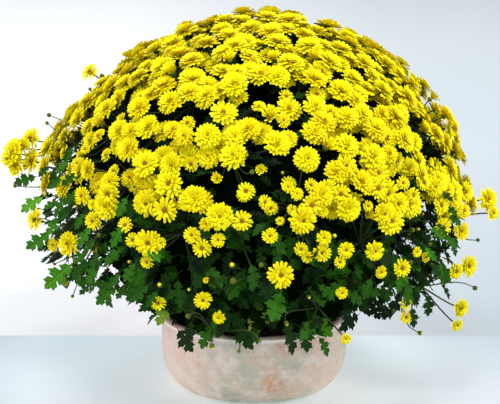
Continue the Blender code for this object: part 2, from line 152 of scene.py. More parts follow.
# Petals, in shares of their length: place along, half width, and the lift of the edges
LONG_PETAL = ((0.45, 0.095, 0.010), (0.87, 0.118, 0.020))
SHORT_PETAL = ((0.76, 0.125, 0.020),)
PETAL_KEEL = 0.015
PETAL_TIP_LIFT = 0.01
DISC_RISE = 0.24
CUP_RADIUS = 0.26
CUP_DROP = 0.30
EDGE_ROUND = 0.02
# Petals: their unevenness, the turn from ring to ring, the tilt, and the change and mean of length
PETAL_UNEVENNESS = 0.7
RING_TURN = 0.41
PETAL_TILT = 0.35
PETAL_LENGTH = (0.22, 0.97)
# Kinds of flower: rings of petal count, reach and rise in degrees, then the disc's radius and part
KINDS = (
    (((22, 1.00, -4), (20, 0.95, 9), (16, 0.83, 23), (13, 0.67, 38), (10, 0.47, 52)), 0.15, 1),
    (((21, 1.00, -14), (20, 0.96, 2), (16, 0.85, 17), (13, 0.69, 33), (10, 0.50, 48)), 0.14, 1),
    (((21, 0.98, 3), (19, 0.92, 16), (15, 0.79, 31), (12, 0.62, 47), (8, 0.43, 62)), 0.13, 1),
    (((20, 1.00, -2), (17, 0.90, 14), (12, 0.72, 31), (9, 0.50, 46)), 0.18, 2),
    (((18, 1.00, 3), (14, 0.83, 18), (9, 0.57, 40)), 0.22, 2),
    (((17, 1.00, 2), (11, 0.76, 24)), 0.26, 2),
    (((13, 0.95, 42), (10, 0.88, 58), (7, 0.64, 74)), 0.18, 1),
    (((9, 0.84, 64), (7, 0.76, 77)), 0.16, 1),
)
CROWD_KINDS = (0, 0, 0, 0, 1, 1, 2, 2, 3, 4)
BETWEEN_KINDS = (0, 1, 3, 3, 2, 3, 4, 6)
SPARSE_KINDS = (3, 4, 4, 5, 5)
SUNK_KINDS = (4, 5, 6)
SMALL_KINDS = (5, 6, 7)
SMALL_RADIUS = 0.0062
PART_PETAL, PART_DISC, PART_BROWN_DISC, PART_CUP = 0, 1, 2, 3

# Leaves: outline of one side from the stalk to the tip, in shares of the length
LEAF_SIDE = (
    (0.00, 0.010), (0.18, 0.012), (0.26, 0.060), (0.27, 0.135), (0.335, 0.145), (0.40, 0.210),
    (0.42, 0.085), (0.49, 0.070), (0.50, 0.235), (0.565, 0.245), (0.64, 0.335), (0.645, 0.215),
    (0.70, 0.205), (0.655, 0.075), (0.72, 0.070), (0.75, 0.190), (0.815, 0.180), (0.88, 0.205),
    (0.865, 0.090), (0.93, 0.085), (1.00, 0.0),
)
LEAF_RIB = (0.06, 0.22, 0.33, 0.43, 0.53, 0.66, 0.76, 0.87)
# A leaf's usual length and its thickness, the waves of its edge, and its rib and veins
LEAF_USUAL = 0.045
LEAF_THICKNESS = 0.0006
LEAF_WAVE = 0.020
LEAF_WAVES = 17
DROOP_SHORTENS = 0.12
RIB_WIDTH = 0.018
VEIN_SLANT = 1.1
VEIN_FINENESS = 58.0
# The dark core under the leaves, a wedge painted near black as deep shade, in shares of the bush: its foot,
# and its reach low down and higher up
CORE_FOOT = -0.90
CORE_LOW = 0.66
CORE_HIGH = 0.83
CORE_WIDENS = 0.35
CORE_RUFFLE = 0.03
# Shapes of leaf: droop of the tip, fold along the rib, sideways bend, and width
LEAF_SHAPES = (
    (0.12, 0.22, 0.00, 0.88), (0.30, 0.30, 0.12, 0.76), (0.48, 0.26, -0.14, 0.82), (-0.10, 0.40, 0.06, 0.95),
)
# Leaves by rule: how many in each eighth, and the ranges of up, depth, lean and tone. The tone is painted
# light and shade: low tones paint the inside and canopy leaves dark as shade
LEAF_GROUPS = {
    "belt": (108, (-0.55, 0.22), (0.76, 0.96), (-0.8, 0.3), (0.1, 0.8)),
    "canopy": (46, (0, 0.9), (0.80, 0.92), (-0.5, 0.5), (0.0, 0.45)),
    "inside": (30, (-0.66, 0.6), (0.60, 0.80), (-0.9, 0.3), (0.0, 0.25)),
}
# How far their headings turn aside and point outwards, and which part of a leaf lies at its place
LEAF_TURN = 1.1
LEAF_OUTWARDS = 0.55
LEAF_MIDDLE = 0.55
CANOPY_SPREAD = 1.2
# Painted shade: the belt leaves' tone is raised to this power, which darkens them under the dome
BELT_SHADE_POWER = 1.4
LEAVES_OVER_SOIL = 30
LEAVES_OVER_LIP = 3
# Where the picture is clear under the bush: from, to and from how far down, in picture points
CLEAR_BELOW = ((0, 40, 262), (40, 95, 288), (95, 130, 304), (130, 152, 312), (152, 170, 322),
               (345, 372, 318), (372, 440, 324), (440, 500, 300))
LOW_RING = (0.045, 0.096)
LOW_HEIGHT = (0.099, 0.145)
LEAF_LENGTH = (0.026, 0.046)
LIP_LEAF_IN = 0.012
LIP_LEAF_UP = (0.010, 0.018)
LIP_LEAF_LENGTH = (0.032, 0.046)
LIP_LEAVES_BEHIND = -0.3
# Leaves that show by themselves: root and tip in picture points, distance from the axis, and tone, which
# paints each leaf's light and shade
SHOWN_TIP_NEARER = 0.006
SHOWN_LONGER = 1.12
SHOWN_ROOT_BACK = 0.1
SHOWN_LEAVES = (
    (38, 176, 10, 184, 0, 0.6), (44, 196, 15, 214, 0, 0.9), (52, 232, 24, 252, 0, 0.75),
    (74, 262, 40, 292, 0, 0.82), (118, 286, 92, 306, 0, 0.6), (170, 300, 158, 327, 0.20, 0.95),
    (192, 318, 188, 345, 0.135, 0.25), (214, 322, 199, 350, 0.130, 0.7),
    (228, 320, 256, 353, 0.128, 0.35), (262, 300, 272, 326, 0.16, 0.96), (248, 314, 262, 338, 0.14, 1.0),
    (290, 312, 284, 340, 0.135, 0.3), (304, 318, 305, 360, 0.128, 0.4), (306, 314, 334, 336, 0.135, 0.85),
    (318, 336, 334, 352, 0.13, 0.7), (378, 296, 386, 322, 0.21, 0.1), (362, 294, 366, 318, 0.20, 0.15),
    (346, 300, 350, 326, 0.18, 0.2), (428, 292, 432, 316, 0, 0.3), (412, 306, 416, 330, 0, 0.3),
    (128, 196, 112, 218, 0, 0.7), (92, 226, 76, 246, 0, 0.8), (124, 224, 108, 246, 0, 0.75),
    (66, 196, 48, 216, 0, 0.6), (60, 216, 44, 238, 0, 0.8), (150, 284, 128, 304, 0, 0.5),
    (250, 262, 262, 290, 0, 0.5), (404, 272, 396, 292, 0, 0.7), (440, 262, 449, 284, 0, 0.6),
    (424, 246, 437, 262, 0, 0.75), (392, 282, 383, 304, 0, 0.3), (444, 234, 458, 248, 0, 0.6),
    (372, 276, 362, 298, 0, 0.5), (412, 286, 403, 308, 0, 0.6), (100, 262, 84, 281, 0, 0.7),
    (88, 250, 70, 263, 0, 0.7), (136, 262, 121, 284, 0, 0.6), (146, 240, 161, 262, 0, 0.8),
    (430, 226, 446, 240, 0, 0.7), (74, 146, 60, 162, 0, 0.55), (70, 160, 53, 172, 0, 0.7),
    (78, 172, 61, 186, 0, 0.5), (62, 178, 46, 190, 0, 0.6), (80, 190, 63, 204, 0, 0.5),
    (58, 200, 42, 209, 0, 0.65), (72, 206, 57, 222, 0, 0.5), (86, 212, 70, 228, 0, 0.6),
    (96, 238, 81, 254, 0, 0.5), (50, 166, 36, 178, 0, 0.5), (440, 190, 453, 201, 0, 0.4),
    (444, 204, 457, 216, 0, 0.5), (436, 222, 448, 237, 0, 0.5), (448, 214, 461, 225, 0, 0.6),
    (450, 240, 462, 254, 0, 0.5), (430, 262, 442, 277, 0, 0.4), (84, 262, 69, 276, 0, 0.5),
    (96, 270, 84, 288, 0, 0.6), (110, 280, 98, 297, 0, 0.5), (120, 272, 108, 291, 0, 0.6),
    (104, 256, 93, 272, 0, 0.4), (126, 284, 115, 301, 0, 0.5), (140, 276, 130, 298, 0, 0.55),
    (158, 290, 146, 308, 0, 0.5), (92, 282, 80, 296, 0, 0.45),
)

# Buds: across, down and width in picture points, for those that stand free
SHOWN_BUDS = (
    (102, 76, 6), (90, 89, 5), (49, 115, 6), (47, 123, 5), (42, 170, 6), (50, 173, 5), (15, 186, 5),
    (77, 176, 6), (77, 207, 6), (99, 235, 6), (232, 265, 7), (233, 281, 7), (261, 265, 6), (475, 288, 6),
    (420, 333, 6), (252, 172, 6), (160, 285, 6), (312, 216, 5), (334, 236, 6), (188, 316, 6),
    (478, 240, 5), (430, 244, 5), (130, 262, 5), (64, 134, 5),
)
# Buds by rule: how many, the range of up, and of depth low down and higher up
BUDS_BY_RULE = 95
BUD_UP = (-0.6, 0.95)
LOW_BUDS = 0.15
BUD_DEPTH_LOW = (0.90, 1.0)
BUD_DEPTH_HIGH = (0.86, 0.95)
BUD_RISES = (0.95, 1.15)
BUD_RIDGE = 0.06
YELLOW_FROM = 0.75
BUD_SHARE = 0.9
BUD_RADIUS = (0.0018, 0.0031)

# Stems and stalks: where they fork, and their radius at the root and the tip
STEM_SUNK = 0.012
FORK_OUT = 0.052
FORK_HEIGHT = 0.160
TRUNK = (0.0036, 0.0028)
BRANCH = (0.0024, 0.0016)
FLOWER_STALK = (0.0011, 0.0009)
BUD_STALK = (0.0010, 0.0006)
# How far along its way a stalk turns, and how deep it stands in its flower or bud, in radii
PATH_LEAVES = 0.35
PATH_ARRIVES = 0.38
FLOWER_FOOT = 0.28
BUD_FOOT = 0.8

# Bowl and soil, as the solids have them
BOWL_RADIUS = 0.112
BOWL_HEIGHT = 0.089
FOOT_RADIUS = 0.081
BOWL_WALL = 0.010
BOWL_FLOOR = 0.010
SIDE_FROM = 0.063
BEND_RISE = 0.045
LIP_ROUND = 0.0042
SOIL_TOP = 0.075
# The groove under the lip: how far down from it, and how deep
GROOVE = ((0.0015, 0.0), (0.0030, 0.0006), (0.0042, 0.0008), (0.0065, 0.0003), (0.0110, 0.0))
# The swell of the turned side: twice round the bowl, and ring over ring
ROUND_SWELL = 0.0003
RING_SWELL = 0.0002
RING_FINENESS = 900
# The soil's gap to the bowl, its rise to the middle, the unevenness of its top, and its crumbs
SOIL_GAP = 0.0006
SOIL_RISE = 0.002
SOIL_UNEVEN = (-0.0014, 0.0010)
CRUMB_RADIUS = (0.0008, 0.0028)
CRUMB_DENSITY = 9000.0
CRUMB_SPIN = (6.3, 6.3, 6.3)
CRUMB_UNEVEN = (0.7, 1.15)
MERGED = 0.00001

# Stage: where the table ends behind the bowl, and the floor's half width
TABLE_BACK = 0.175
FLOOR_HALF = 9.0
FLOOR_BELOW = 0.0004

# Colours, as red, green and blue shares of light, and their places along a ramp
# The petals darken towards each petal's base: partly the flower's own golden colour, partly painted shade
# between the petals
PETAL_YELLOWS_AND_SHADE = ((0.0, (0.34, 0.21, 0.001)), (0.35, (0.62, 0.50, 0.001)), (0.68, (0.82, 0.74, 0.001)),
                 (1.0, (0.90, 0.86, 0.001)))
GOLDEN = (0.80, 0.62, 0.001, 1)
OLIVE_DISC = ((0.22, 0.15, 0.003, 1), (0.50, 0.38, 0.004, 1))
BROWN_DISC = ((0.09, 0.040, 0.003, 1), (0.34, 0.19, 0.006, 1))
CUP_GREENS = ((0.030, 0.070, 0.006, 1), (0.130, 0.075, 0.010, 1))
CUP_PALER = (0.10, 0.16, 0.014, 1)
# Leaf greens by tone: from painted deep shade, near black, to painted light, the palest a lit yellow-green
LEAF_GREENS_SHADE_TO_LIT = ((0.0, (0.0012, 0.0055, 0.0005)), (0.45, (0.009, 0.046, 0.0015)), (0.80, (0.028, 0.135, 0.004)),
               (0.92, (0.085, 0.270, 0.010)), (1.0, (0.240, 0.230, 0.020)))
RIB_TINT = (2.4, 2.0, 2.4, 1)
UNDERSIDE_TINT = (1.9, 1.6, 2.2, 1)
DEEP_SHADE = (0.0016, 0.0050, 0.0008, 1)
WOODY_STALK = (0.050, 0.036, 0.020, 1)
GREEN_STALK = (0.050, 0.095, 0.020, 1)
WASH = ((0.30, (0.52, 0.44, 0.34)), (0.44, (0.66, 0.56, 0.46)), (0.54, (0.76, 0.56, 0.45)),
        (0.64, (0.74, 0.38, 0.24)))
# The bowl's greyer middle: partly chalk, partly painted shade under the bush
GREY_AND_SHADE = (0.76, 0.85, 0.82, 1)
PINKER = (0.84, 0.58, 0.50, 1)
CHALK = (0.76, 0.69, 0.62, 1)
LIP_TOP = (0.86, 0.80, 0.76, 1)
# The lip's whiter edge line: partly rubbed chalk, partly painted highlight
RUBBED_AND_HIGHLIT_EDGE = (0.90, 0.85, 0.82, 1)
SOIL_BROWN = (0.040, 0.026, 0.016, 1)
# The wall's grey to the right is painted shade; the table's near colour is painted light against the bush's
# shadow
WALL_LEFT = (0.98, 0.99, 1.0, 1)
WALL_RIGHT = ((0.56, 0.63, 0.69, 1), (0.74, 0.80, 0.84, 1))
TABLE_NEAR_AND_FAR = ((0.98, 1.0, 1.0, 1), (0.48, 0.55, 0.62, 1))
# Patches on each material: how fine, and how strong
PETAL_PATCHES = (240.0, 0.35)
LEAF_PATCHES = (120.0, 0.9)
SHADE_PATCHES = (60.0, 3.0)
STALK_PATCHES = (300.0, 1.0)
BOWL_PATCHES = (420.0, 0.14)
SOIL_PATCHES = (160.0, 1.6)
# Relief of each material: strength, and depth in metres
PETAL_RELIEF = (0.25, 0.0006)
LEAF_RELIEF = (0.4, 0.0008)
BOWL_RELIEF = (0.35, 0.0006)
SOIL_RELIEF = (0.8, 0.002)
# Stalks are green from this height, and are painted darker inside the bush as shade: from, to, and how dark
# to how light
STALK_GREEN_AT = 0.20
STALK_SHADING = (0.80, 1.0, 0.12, 1.0)
# The bowl's wash and chalk, each as clouds (how fine, detail, roughness), and where the chalk lies
WASH_CLOUDS = (24.0, 5.0, 0.62)
CHALK_CLOUDS = (46.0, 6.0, 0.7)
CHALK_OVER = (0.46, 0.62, 0.0, 0.75)
# Where across the bowl the wash is greyer, partly chalk and partly painted shade, and pinker, and the
# fineness of its turning marks
GREYER_ACROSS = (0.03, 0.095, 1.0, 0.0)
PINKER_ACROSS = (-0.03, -0.10, 0.0, 0.6)
TURNING_MARKS = (3.0, 3.0, 260.0)
# Ranges on the stage: across and back on the wall, and far, fore and under the bush on the table
WALL_ACROSS = (-0.35, 0.35)
WALL_DEEP = (0.3, 2.5)
WALL_SHADED_FOOT = (TABLE_BACK, 1.3, 0.80, 1.0)
TABLE_FAR = (0.12, 0.37)
TABLE_FORE = (-0.06, -0.30)
SHADOW_RANGE = (0.19, 0.37)
# The stage's own light where the bush would shade it: its middle, strength and colours
UNDER_BUSH = (-0.03, 0.10, 0)
SHADOW_LIFT = 0.36
TABLE_LIFT = (0.38, 0.56, 0.61, 1)
WALL_LIFT = ((0.0, (0.14, 0.14, 0.14)), (0.28, (1.0, 0.95, 1.0)), (1.0, (0.36, 0.45, 0.42)))
# Lamps: name, place, aim, size, power in watts, and colour
LAMPS = (
    ("above", (-0.2, -1.1, 2.4), (0, 0, 0.25), 1.0, 32, (1.0, 0.99, 0.97)),
    ("high right", (1.3, -0.9, 1.9), (0, 0, 0.28), 1.0, 22, (1.0, 0.99, 0.97)),
    ("left side", (-2.0, -1.2, 0.5), (0, 0, 0.12), 1.0, 18, (1.0, 0.95, 0.95)),
    ("right side", (2.0, -1.2, 0.5), (0, 0, 0.12), 1.0, 12, (1.0, 0.98, 0.94)),
    ("behind", (-0.9, 2.2, 2.4), (-0.6, 1.8, 0), 2.0, 26, (0.98, 0.99, 1.0)),
)
SKY = (0.93, 0.96, 1.0, 1)
SKY_STRENGTH = 0.66


# Meshes and node trees

def link_object(name, mesh):
    made = bpy.data.objects.new(name, mesh)
    bpy.context.scene.collection.objects.link(made)
    return made


def mesh_from(builder, name, turn_out=True):
    if turn_out:
        bmesh.ops.recalc_face_normals(builder, faces=builder.faces)
    mesh = bpy.data.meshes.new(name)
    builder.to_mesh(mesh)
    builder.free()
    return mesh


def mark(mesh, name, values, kind="FLOAT", key="value"):
    """Keeps a value for each point of a mesh under a name."""
    kept = mesh.attributes.new(name, kind, "POINT")
    kept.data.foreach_set(key, values)


def wire(tree, kind, links=None, **settings):
    """A node with its settings, and its inputs linked or set by name or number."""
    made = tree.nodes.new(kind)
    for key, value in settings.items():
        setattr(made, key, value)
    for key, value in (links or {}).items():
        if isinstance(value, bpy.types.NodeSocket):
            tree.links.new(value, made.inputs[key])
        else:
            made.inputs[key].default_value = value
    return made


def maths(tree, operation, *values):
    """One number worked out from others."""
    return wire(tree, "ShaderNodeMath", dict(enumerate(values)), operation=operation).outputs[0]


class Tree:
    """A geometry node tree with named inputs, written top to bottom."""

    def __init__(self, name):
        self.tree = bpy.data.node_groups.new(name, "GeometryNodeTree")
        self.tree.interface.new_socket("Geometry", in_out="INPUT", socket_type="NodeSocketGeometry")
        self.tree.interface.new_socket("Geometry", in_out="OUTPUT", socket_type="NodeSocketGeometry")
        self.start = self.tree.nodes.new("NodeGroupInput")
        self.end = self.tree.nodes.new("NodeGroupOutput")

    def input(self, name, kind):
        self.tree.interface.new_socket(name, in_out="INPUT", socket_type="NodeSocket" + kind)
        return self.start.outputs[name]

    def node(self, kind, links=None, **settings):
        return wire(self.tree, kind, links, **settings)

    def maths(self, operation, *values):
        return maths(self.tree, operation, *values)

    def shape_of(self, piece):
        """The geometry of an object that comes in as an input."""
        return self.node("GeometryNodeObjectInfo", {"Object": piece}).outputs["Geometry"]

    def turn_from(self, angles):
        """A rotation from three angles."""
        return self.node("FunctionNodeEulerToRotation", {0: angles}).outputs[0]

    def random(self, low, high, links):
        """A random number between two others."""
        return self.node("FunctionNodeRandomValue", {2: low, 3: high, **links}, data_type="FLOAT").outputs[1]

    def attribute(self, name, kind="FLOAT"):
        links = {"Name": name}
        return self.node("GeometryNodeInputNamedAttribute", links, data_type=kind).outputs["Attribute"]

    def join(self, pieces):
        """One geometry from several."""
        joined = self.node("GeometryNodeJoinGeometry")
        for piece in pieces:
            self.tree.links.new(piece, joined.inputs[0])
        return joined.outputs[0]

    def finish(self, geometry):
        """Ends in real geometry with its material set."""
        real = self.node("GeometryNodeRealizeInstances", {"Geometry": geometry}).outputs[0]
        finish = self.input("Finish", "Material")
        shown = self.node("GeometryNodeSetMaterial", {"Geometry": real, "Material": finish})
        self.tree.links.new(shown.outputs[0], self.end.inputs[0])
        return self.tree


def grown(name, mesh, tree, values):
    """A plain mesh object from a tree over a mesh, with the tree's inputs set by identifier."""
    holder = link_object(name + "_source", mesh)
    step = holder.modifiers.new("grow", "NODES")
    step.node_group = tree
    for socket in tree.interface.items_tree:
        if socket.item_type == "SOCKET" and socket.in_out == "INPUT" and socket.name in values:
            step[socket.identifier] = values[socket.name]
    holder.update_tag()
    graph = bpy.context.evaluated_depsgraph_get()
    made = bpy.data.meshes.new_from_object(holder.evaluated_get(graph))
    holder.modifiers.remove(step)
    bpy.data.objects.remove(holder)
    made.name = name
    made.materials.clear()
    made.materials.append(values["Finish"])
    made.polygons.foreach_set("material_index", [0] * len(made.polygons))
    return link_object(name, made)


# Places

def slope(up, angle):
    """A direction from its share of up and its angle round the axis."""
    flat = math.sqrt(max(0, 1 - up * up))
    return Vector((flat * math.cos(angle), flat * math.sin(angle), up))


def golden_directions(count_round, lowest):
    """Evenly spread directions, from straight up down to a lowest slope."""
    turn = math.pi * (3 - math.sqrt(5))
    found = []
    for i in range(count_round):
        up = 1 - (2 * i + 1) / count_round
        if up < lowest:
            break
        found.append(slope(up, i * turn))
    return found


def evened(directions, count_round):
    """The same directions, each pushed off its neighbours until they lie evenly."""
    reach = EVEN_REACH * math.sqrt(2 / math.sqrt(3) * 4 * math.pi / count_round)
    for _ in range(EVEN_ROUNDS):
        tree = KDTree(len(directions))
        for number, direction in enumerate(directions):
            tree.insert(direction, number)
        tree.balance()
        moved = []
        for direction in directions:
            push = Vector((0, 0, 0))
            for near, _, distance in tree.find_n(direction, 7)[1:]:
                push += (direction - near).normalized() * max(0, reach - distance)
            moved.append((direction + EVEN_STEP * push).normalized())
        directions = moved
    return directions


def fullness(direction):
    """How full the dome is in a direction: 1 all round, less at the flatter shoulder."""
    return 1 - SHOULDER_DROP * math.exp(-((direction - SHOULDER).length / SHOULDER_SPREAD) ** 2)


def dome_direction(point):
    """The direction of a point from the heart, with the dome taken as half a ball."""
    away = point - HEART
    return Vector((away.x / BUSH_RADIUS, away.y / BUSH_RADIUS, away.z / DOME_RISE))


def outside(direction):
    """The point of the bush's outside that a direction stands for."""
    flat = math.hypot(direction.x, direction.y)
    if direction.z >= 0:
        reach, rise = BUSH_RADIUS, DOME_RISE
    else:
        reach, rise = BUSH_RADIUS * flat ** (BELT_TUCK - 1), BELT_DROP
    away = Vector((direction.x * reach, direction.y * reach, direction.z * rise))
    return HEART + fullness(direction) * away


def within(direction, depth):
    """The point at a depth in the bush: 1 on its outside, 0 at the heart."""
    return HEART + (outside(direction) - HEART) * depth


def share_of(point):
    """How far out a point lies: 1 on the bush's outside, less inside it."""
    way = dome_direction(point)
    if way.z >= 0:
        return way.length / fullness(way.normalized())
    sink = -way.z * DOME_RISE / BELT_DROP
    tuck = max(1 - sink * sink, LEAST_TUCK) ** (BELT_TUCK / 2)
    return math.hypot(way.x, way.y) / tuck + max(0, sink - FOOT_FROM)


LEVEL = Vector((0, math.cos(VIEW_RISE), -math.sin(VIEW_RISE)))
ABOVE = Vector((0, math.sin(VIEW_RISE), math.cos(VIEW_RISE)))
EYE = VIEW_TARGET - VIEW_DISTANCE * LEVEL


def sight_of(across, down):
    """The direction in which the viewer sees a picture point."""
    width = VIEW_SENSOR / VIEW_LENS
    step_across = (across - PICTURE[0] / 2) / PICTURE[0] * width
    step_up = (PICTURE[1] / 2 - down) / PICTURE[0] * width
    return (LEVEL + Vector((step_across, 0, 0)) + step_up * ABOVE).normalized()


def sighted(across, down):
    """The nearest point of the bush on the sight line of a picture point."""
    sight = sight_of(across, down)
    nearest, least = None, math.inf
    distance = VIEW_DISTANCE - SIGHT_BEFORE
    while distance < VIEW_DISTANCE + SIGHT_BEHIND:
        point = EYE + distance * sight
        share = share_of(point)
        if share < least:
            nearest, least = point, share
        if share <= SIGHT_SHARE:
            break
        distance += SIGHT_STEP
    return nearest


def sighted_at(across, down, radius):
    """The point of a sight line that first comes so near to the axis."""
    sight = sight_of(across, down)
    distance = VIEW_DISTANCE - SIGHT_BEFORE
    point = EYE + distance * sight
    while math.hypot(point.x, point.y) > radius and distance < VIEW_DISTANCE:
        distance += SIGHT_STEP
        point = EYE + distance * sight
    return point


def at_depth(across, down, depth):
    """The point of a sight line at a distance in front of the viewer."""
    sight = sight_of(across, down)
    return EYE + sight * (depth / sight.dot(LEVEL))


def pictured(point):
    """Where the viewer sees a point, in picture points."""
    away = point - EYE
    depth = away.dot(LEVEL)
    scale = PICTURE[0] * VIEW_LENS / VIEW_SENSOR / depth
    return PICTURE[0] / 2 + away.x * scale, PICTURE[1] / 2 - away.dot(ABOVE) * scale


def true_radius(width, depth):
    """The radius of what is so wide in the picture and so far from the viewer."""
    return width / 2 / PICTURE[0] * VIEW_SENSOR / VIEW_LENS * depth


class Flower:
    """A flower head: its place, the way it faces, its radius and its kind."""

    def __init__(self, place, radius, chance):
        self.place = place
        self.radius = radius
        tilt = Vector([chance.uniform(-FACING_TILT, FACING_TILT) for _ in range(3)])
        self.out = (place - HEART).normalized()
        self.facing = (self.out + tilt + Vector((0, 0, FACING_LIFT))).normalized()
        self.turn = chance.uniform(0, math.tau)
        self.kind = 0
        self.tone = 0.5


def crowd_edge(direction):
    """How low the crowded flowers reach: lower on the right."""
    return CROWD_EDGE - CROWD_EDGE_RIGHT * max(0, direction.x) ** 2


def crowd(chance):
    """The crowded flowers of the dome, one for each of the solids'."""
    found = []
    for direction in evened(golden_directions(CROWD_ON_ROUND, CROWD_EVENED_TO), CROWD_ON_ROUND):
        shift = Vector([chance.uniform(-1, 1) for _ in range(3)]) * CROWD_SHIFT
        depth = chance.uniform(*CROWD_DEPTH)
        share = chance.uniform(0, 1)
        radius = CROWD_RADIUS[0] + share * (CROWD_RADIUS[1] - CROWD_RADIUS[0])
        if direction.z > crowd_edge(direction):
            found.append(Flower(within(direction, depth) + shift, radius, chance))
    return found


def in_the_picture(table, chance):
    """Flowers at listed places of the picture, turned a little towards the viewer."""
    found = []
    for across, down, width in table:
        place = sighted(across, down)
        depth = (place - EYE).dot(LEVEL)
        flower = Flower(place, true_radius(width, depth), chance)
        flower.radius *= SPARSE_FULLER[0] + (SPARSE_FULLER[1] - SPARSE_FULLER[0]) * flower.out.x ** 2
        flower.facing = (flower.facing - TOWARDS_VIEWER * LEVEL).normalized()
        found.append(flower)
    return found


def sparse(chance):
    """The listed flowers of the belt, and some by rule behind, where the picture shows none."""
    found = in_the_picture(SPARSE_FLOWERS, chance)
    for direction in golden_directions(BACK_ON_ROUND, BACK_LOWEST):
        depth = chance.uniform(*BACK_DEPTH)
        radius = chance.uniform(*BACK_RADIUS)
        if direction.y > BACK_FROM and direction.z < crowd_edge(direction):
            found.append(Flower(within(direction, depth), radius, chance))
    return found


def in_hollow(place, edge):
    """True where the viewer sees a dark hollow between the flowers, or its edge."""
    if place.y > 0:
        return False
    across, down = pictured(place)
    return any(math.hypot(across - x, down - y) < radius + edge for x, y, radius in HOLLOWS)


def in_gap(place, up):
    """True in one of the small gaps that break up the crowd, more of them low down."""
    limit = GAP_FROM[0] + (GAP_FROM[1] - GAP_FROM[0]) * min(1, max(0, GAP_CLOSING * up))
    return noise.noise(place * GAP_FINENESS) > limit


def between(flowers, chance):
    """Flowers that fill the crowd, each a least distance from all others."""
    found = []
    grid = {}

    def cell(place):
        return tuple(math.floor(value / BETWEEN_APART) for value in place)

    for flower in flowers:
        grid.setdefault(cell(flower.place), []).append(flower.place)
    for _ in range(BETWEEN_COUNT):
        up = chance.uniform(*BETWEEN_UP)
        direction = slope(up, chance.uniform(0, math.tau))
        depth = chance.uniform(*BETWEEN_DEPTH)
        radius = chance.uniform(*BETWEEN_RADIUS)
        if up < crowd_edge(direction) + chance.uniform(*EDGE_FRAY):
            continue
        place = within(direction, depth)
        if in_hollow(place, HOLLOW_EDGE) or in_gap(place, up):
            continue
        home = cell(place)
        closer = up > CLOSER_ABOVE or direction.x > CLOSER_RIGHT_OF
        apart = BETWEEN_CLOSER if closer else BETWEEN_APART
        cells = (tuple(map(sum, zip(home, step))) for step in product((-1, 0, 1), repeat=3))
        if any((place - other).length < apart for key in cells for other in grid.get(key, ())):
            continue
        grid.setdefault(home, []).append(place)
        found.append(Flower(place, radius, chance))
    return found


def all_flowers():
    """Every flower with its kind and tone: crowded, between those, and sparse."""
    chance = random.Random(SEED)
    crowded = crowd(chance)
    lone = sparse(chance)
    more = random.Random(SEED + 1)
    small = in_the_picture(MORE_FLOWERS, more)
    filling = between(crowded + lone + small, more)
    groups = ((crowded, CROWD_KINDS), (filling, BETWEEN_KINDS), (lone, SPARSE_KINDS), (small, SPARSE_KINDS))
    for group, kinds in groups:
        for flower in group:
            flower.kind = more.choice(kinds)
            flower.tone = more.uniform(0, 1)
            lower = flower.out.z - GAP_LOWER
            if group is crowded and (in_hollow(flower.place, 0) or in_gap(flower.place, lower)):
                flower.radius *= HOLLOW_SHRINK
                flower.place = HEART + HOLLOW_SINK * (flower.place - HEART)
                flower.kind = more.choice(SUNK_KINDS)
            if flower.radius < SMALL_RADIUS:
                flower.kind = more.choice(SMALL_KINDS)
    return crowded, filling + small, lone


def sector_of(point):
    """The number of the stem whose eighth of the bush holds a point."""
    return round(math.atan2(point.y, point.x) / SECTOR) % STEM_COUNT


def off_seam(direction):
    """Turns a direction that points between two stems a little into the nearer one."""
    angle = math.atan2(direction.y, direction.x)
    across = (angle + SECTOR / 2) % SECTOR
    short = min(across, SECTOR - across)
    if short >= SEAM_CLEAR:
        return direction
    turn = SEAM_CLEAR - short if across < SECTOR / 2 else short - SEAM_CLEAR
    return Matrix.Rotation(turn, 3, "Z") @ direction


def owned_by_sprays(kept, filling):
    """The shoots' ends, each with the flowers nearest to it, in the order of the solids."""
    directions = golden_directions(SPRAYS_ON_ROUND, SPRAY_LOWEST)
    ends = [off_seam(outside(direction) - HEART) for direction in directions]
    aims = [end.normalized() for end in ends]
    owned = [[] for _ in ends]
    counted = [0] * len(ends)
    for flower in kept + filling:
        nearest = max(range(len(aims)), key=lambda i: aims[i].dot(flower.out))
        owned[nearest].append(flower)
        if flower not in filling:
            counted[nearest] += 1
    return [(end, held) for end, held, count in zip(ends, owned, counted) if count]


# Materials

def shader_group(name, inputs, outputs):
    group = bpy.data.node_groups.new(name, "ShaderNodeTree")
    for label, kind, value in inputs:
        socket = group.interface.new_socket(label, in_out="INPUT", socket_type="NodeSocket" + kind)
        socket.default_value = value
    for label, kind in outputs:
        group.interface.new_socket(label, in_out="OUTPUT", socket_type="NodeSocket" + kind)
    return group, group.nodes.new("NodeGroupInput"), group.nodes.new("NodeGroupOutput")


def mix(tree, share, first, second, blend="MIX"):
    """A colour between two others. Sockets 6 and 7 are the node's colour inputs, 2 its output."""
    links = {0: share, 6: first, 7: second}
    return wire(tree, "ShaderNodeMix", links, data_type="RGBA", blend_type=blend).outputs[2]


def times(tree, first, second):
    """A colour tinted by another."""
    return mix(tree, 1.0, first, second, "MULTIPLY")


def grey(tree, level):
    return wire(tree, "ShaderNodeCombineColor", {0: level, 1: level, 2: level}).outputs[0]


def ranged(tree, value, first, last, low=0.0, high=1.0):
    """A number carried from one range over to another, and held at the ends."""
    return wire(tree, "ShaderNodeMapRange", {0: value, 1: first, 2: last, 3: low, 4: high}).outputs[0]


def ramp(tree, value, stops):
    """Colours along a number, from stops of place and colour."""
    made = wire(tree, "ShaderNodeValToRGB", {0: value})
    bar = made.color_ramp
    while len(bar.elements) < len(stops):
        bar.elements.new(0.5)
    for element, (place, colour) in zip(bar.elements, stops):
        element.position = place
        element.color = (*colour, 1)
    return made.outputs[0]


def clouds(tree, place, scale, detail, roughness=0.5):
    links = {"Vector": place, "Scale": scale, "Detail": detail, "Roughness": roughness}
    return wire(tree, "ShaderNodeTexNoise", links).outputs[0]


def place_on(tree):
    """The place on the object, with each of its three axes."""
    place = wire(tree, "ShaderNodeTexCoord").outputs["Object"]
    return place, wire(tree, "ShaderNodeSeparateXYZ", {0: place}).outputs


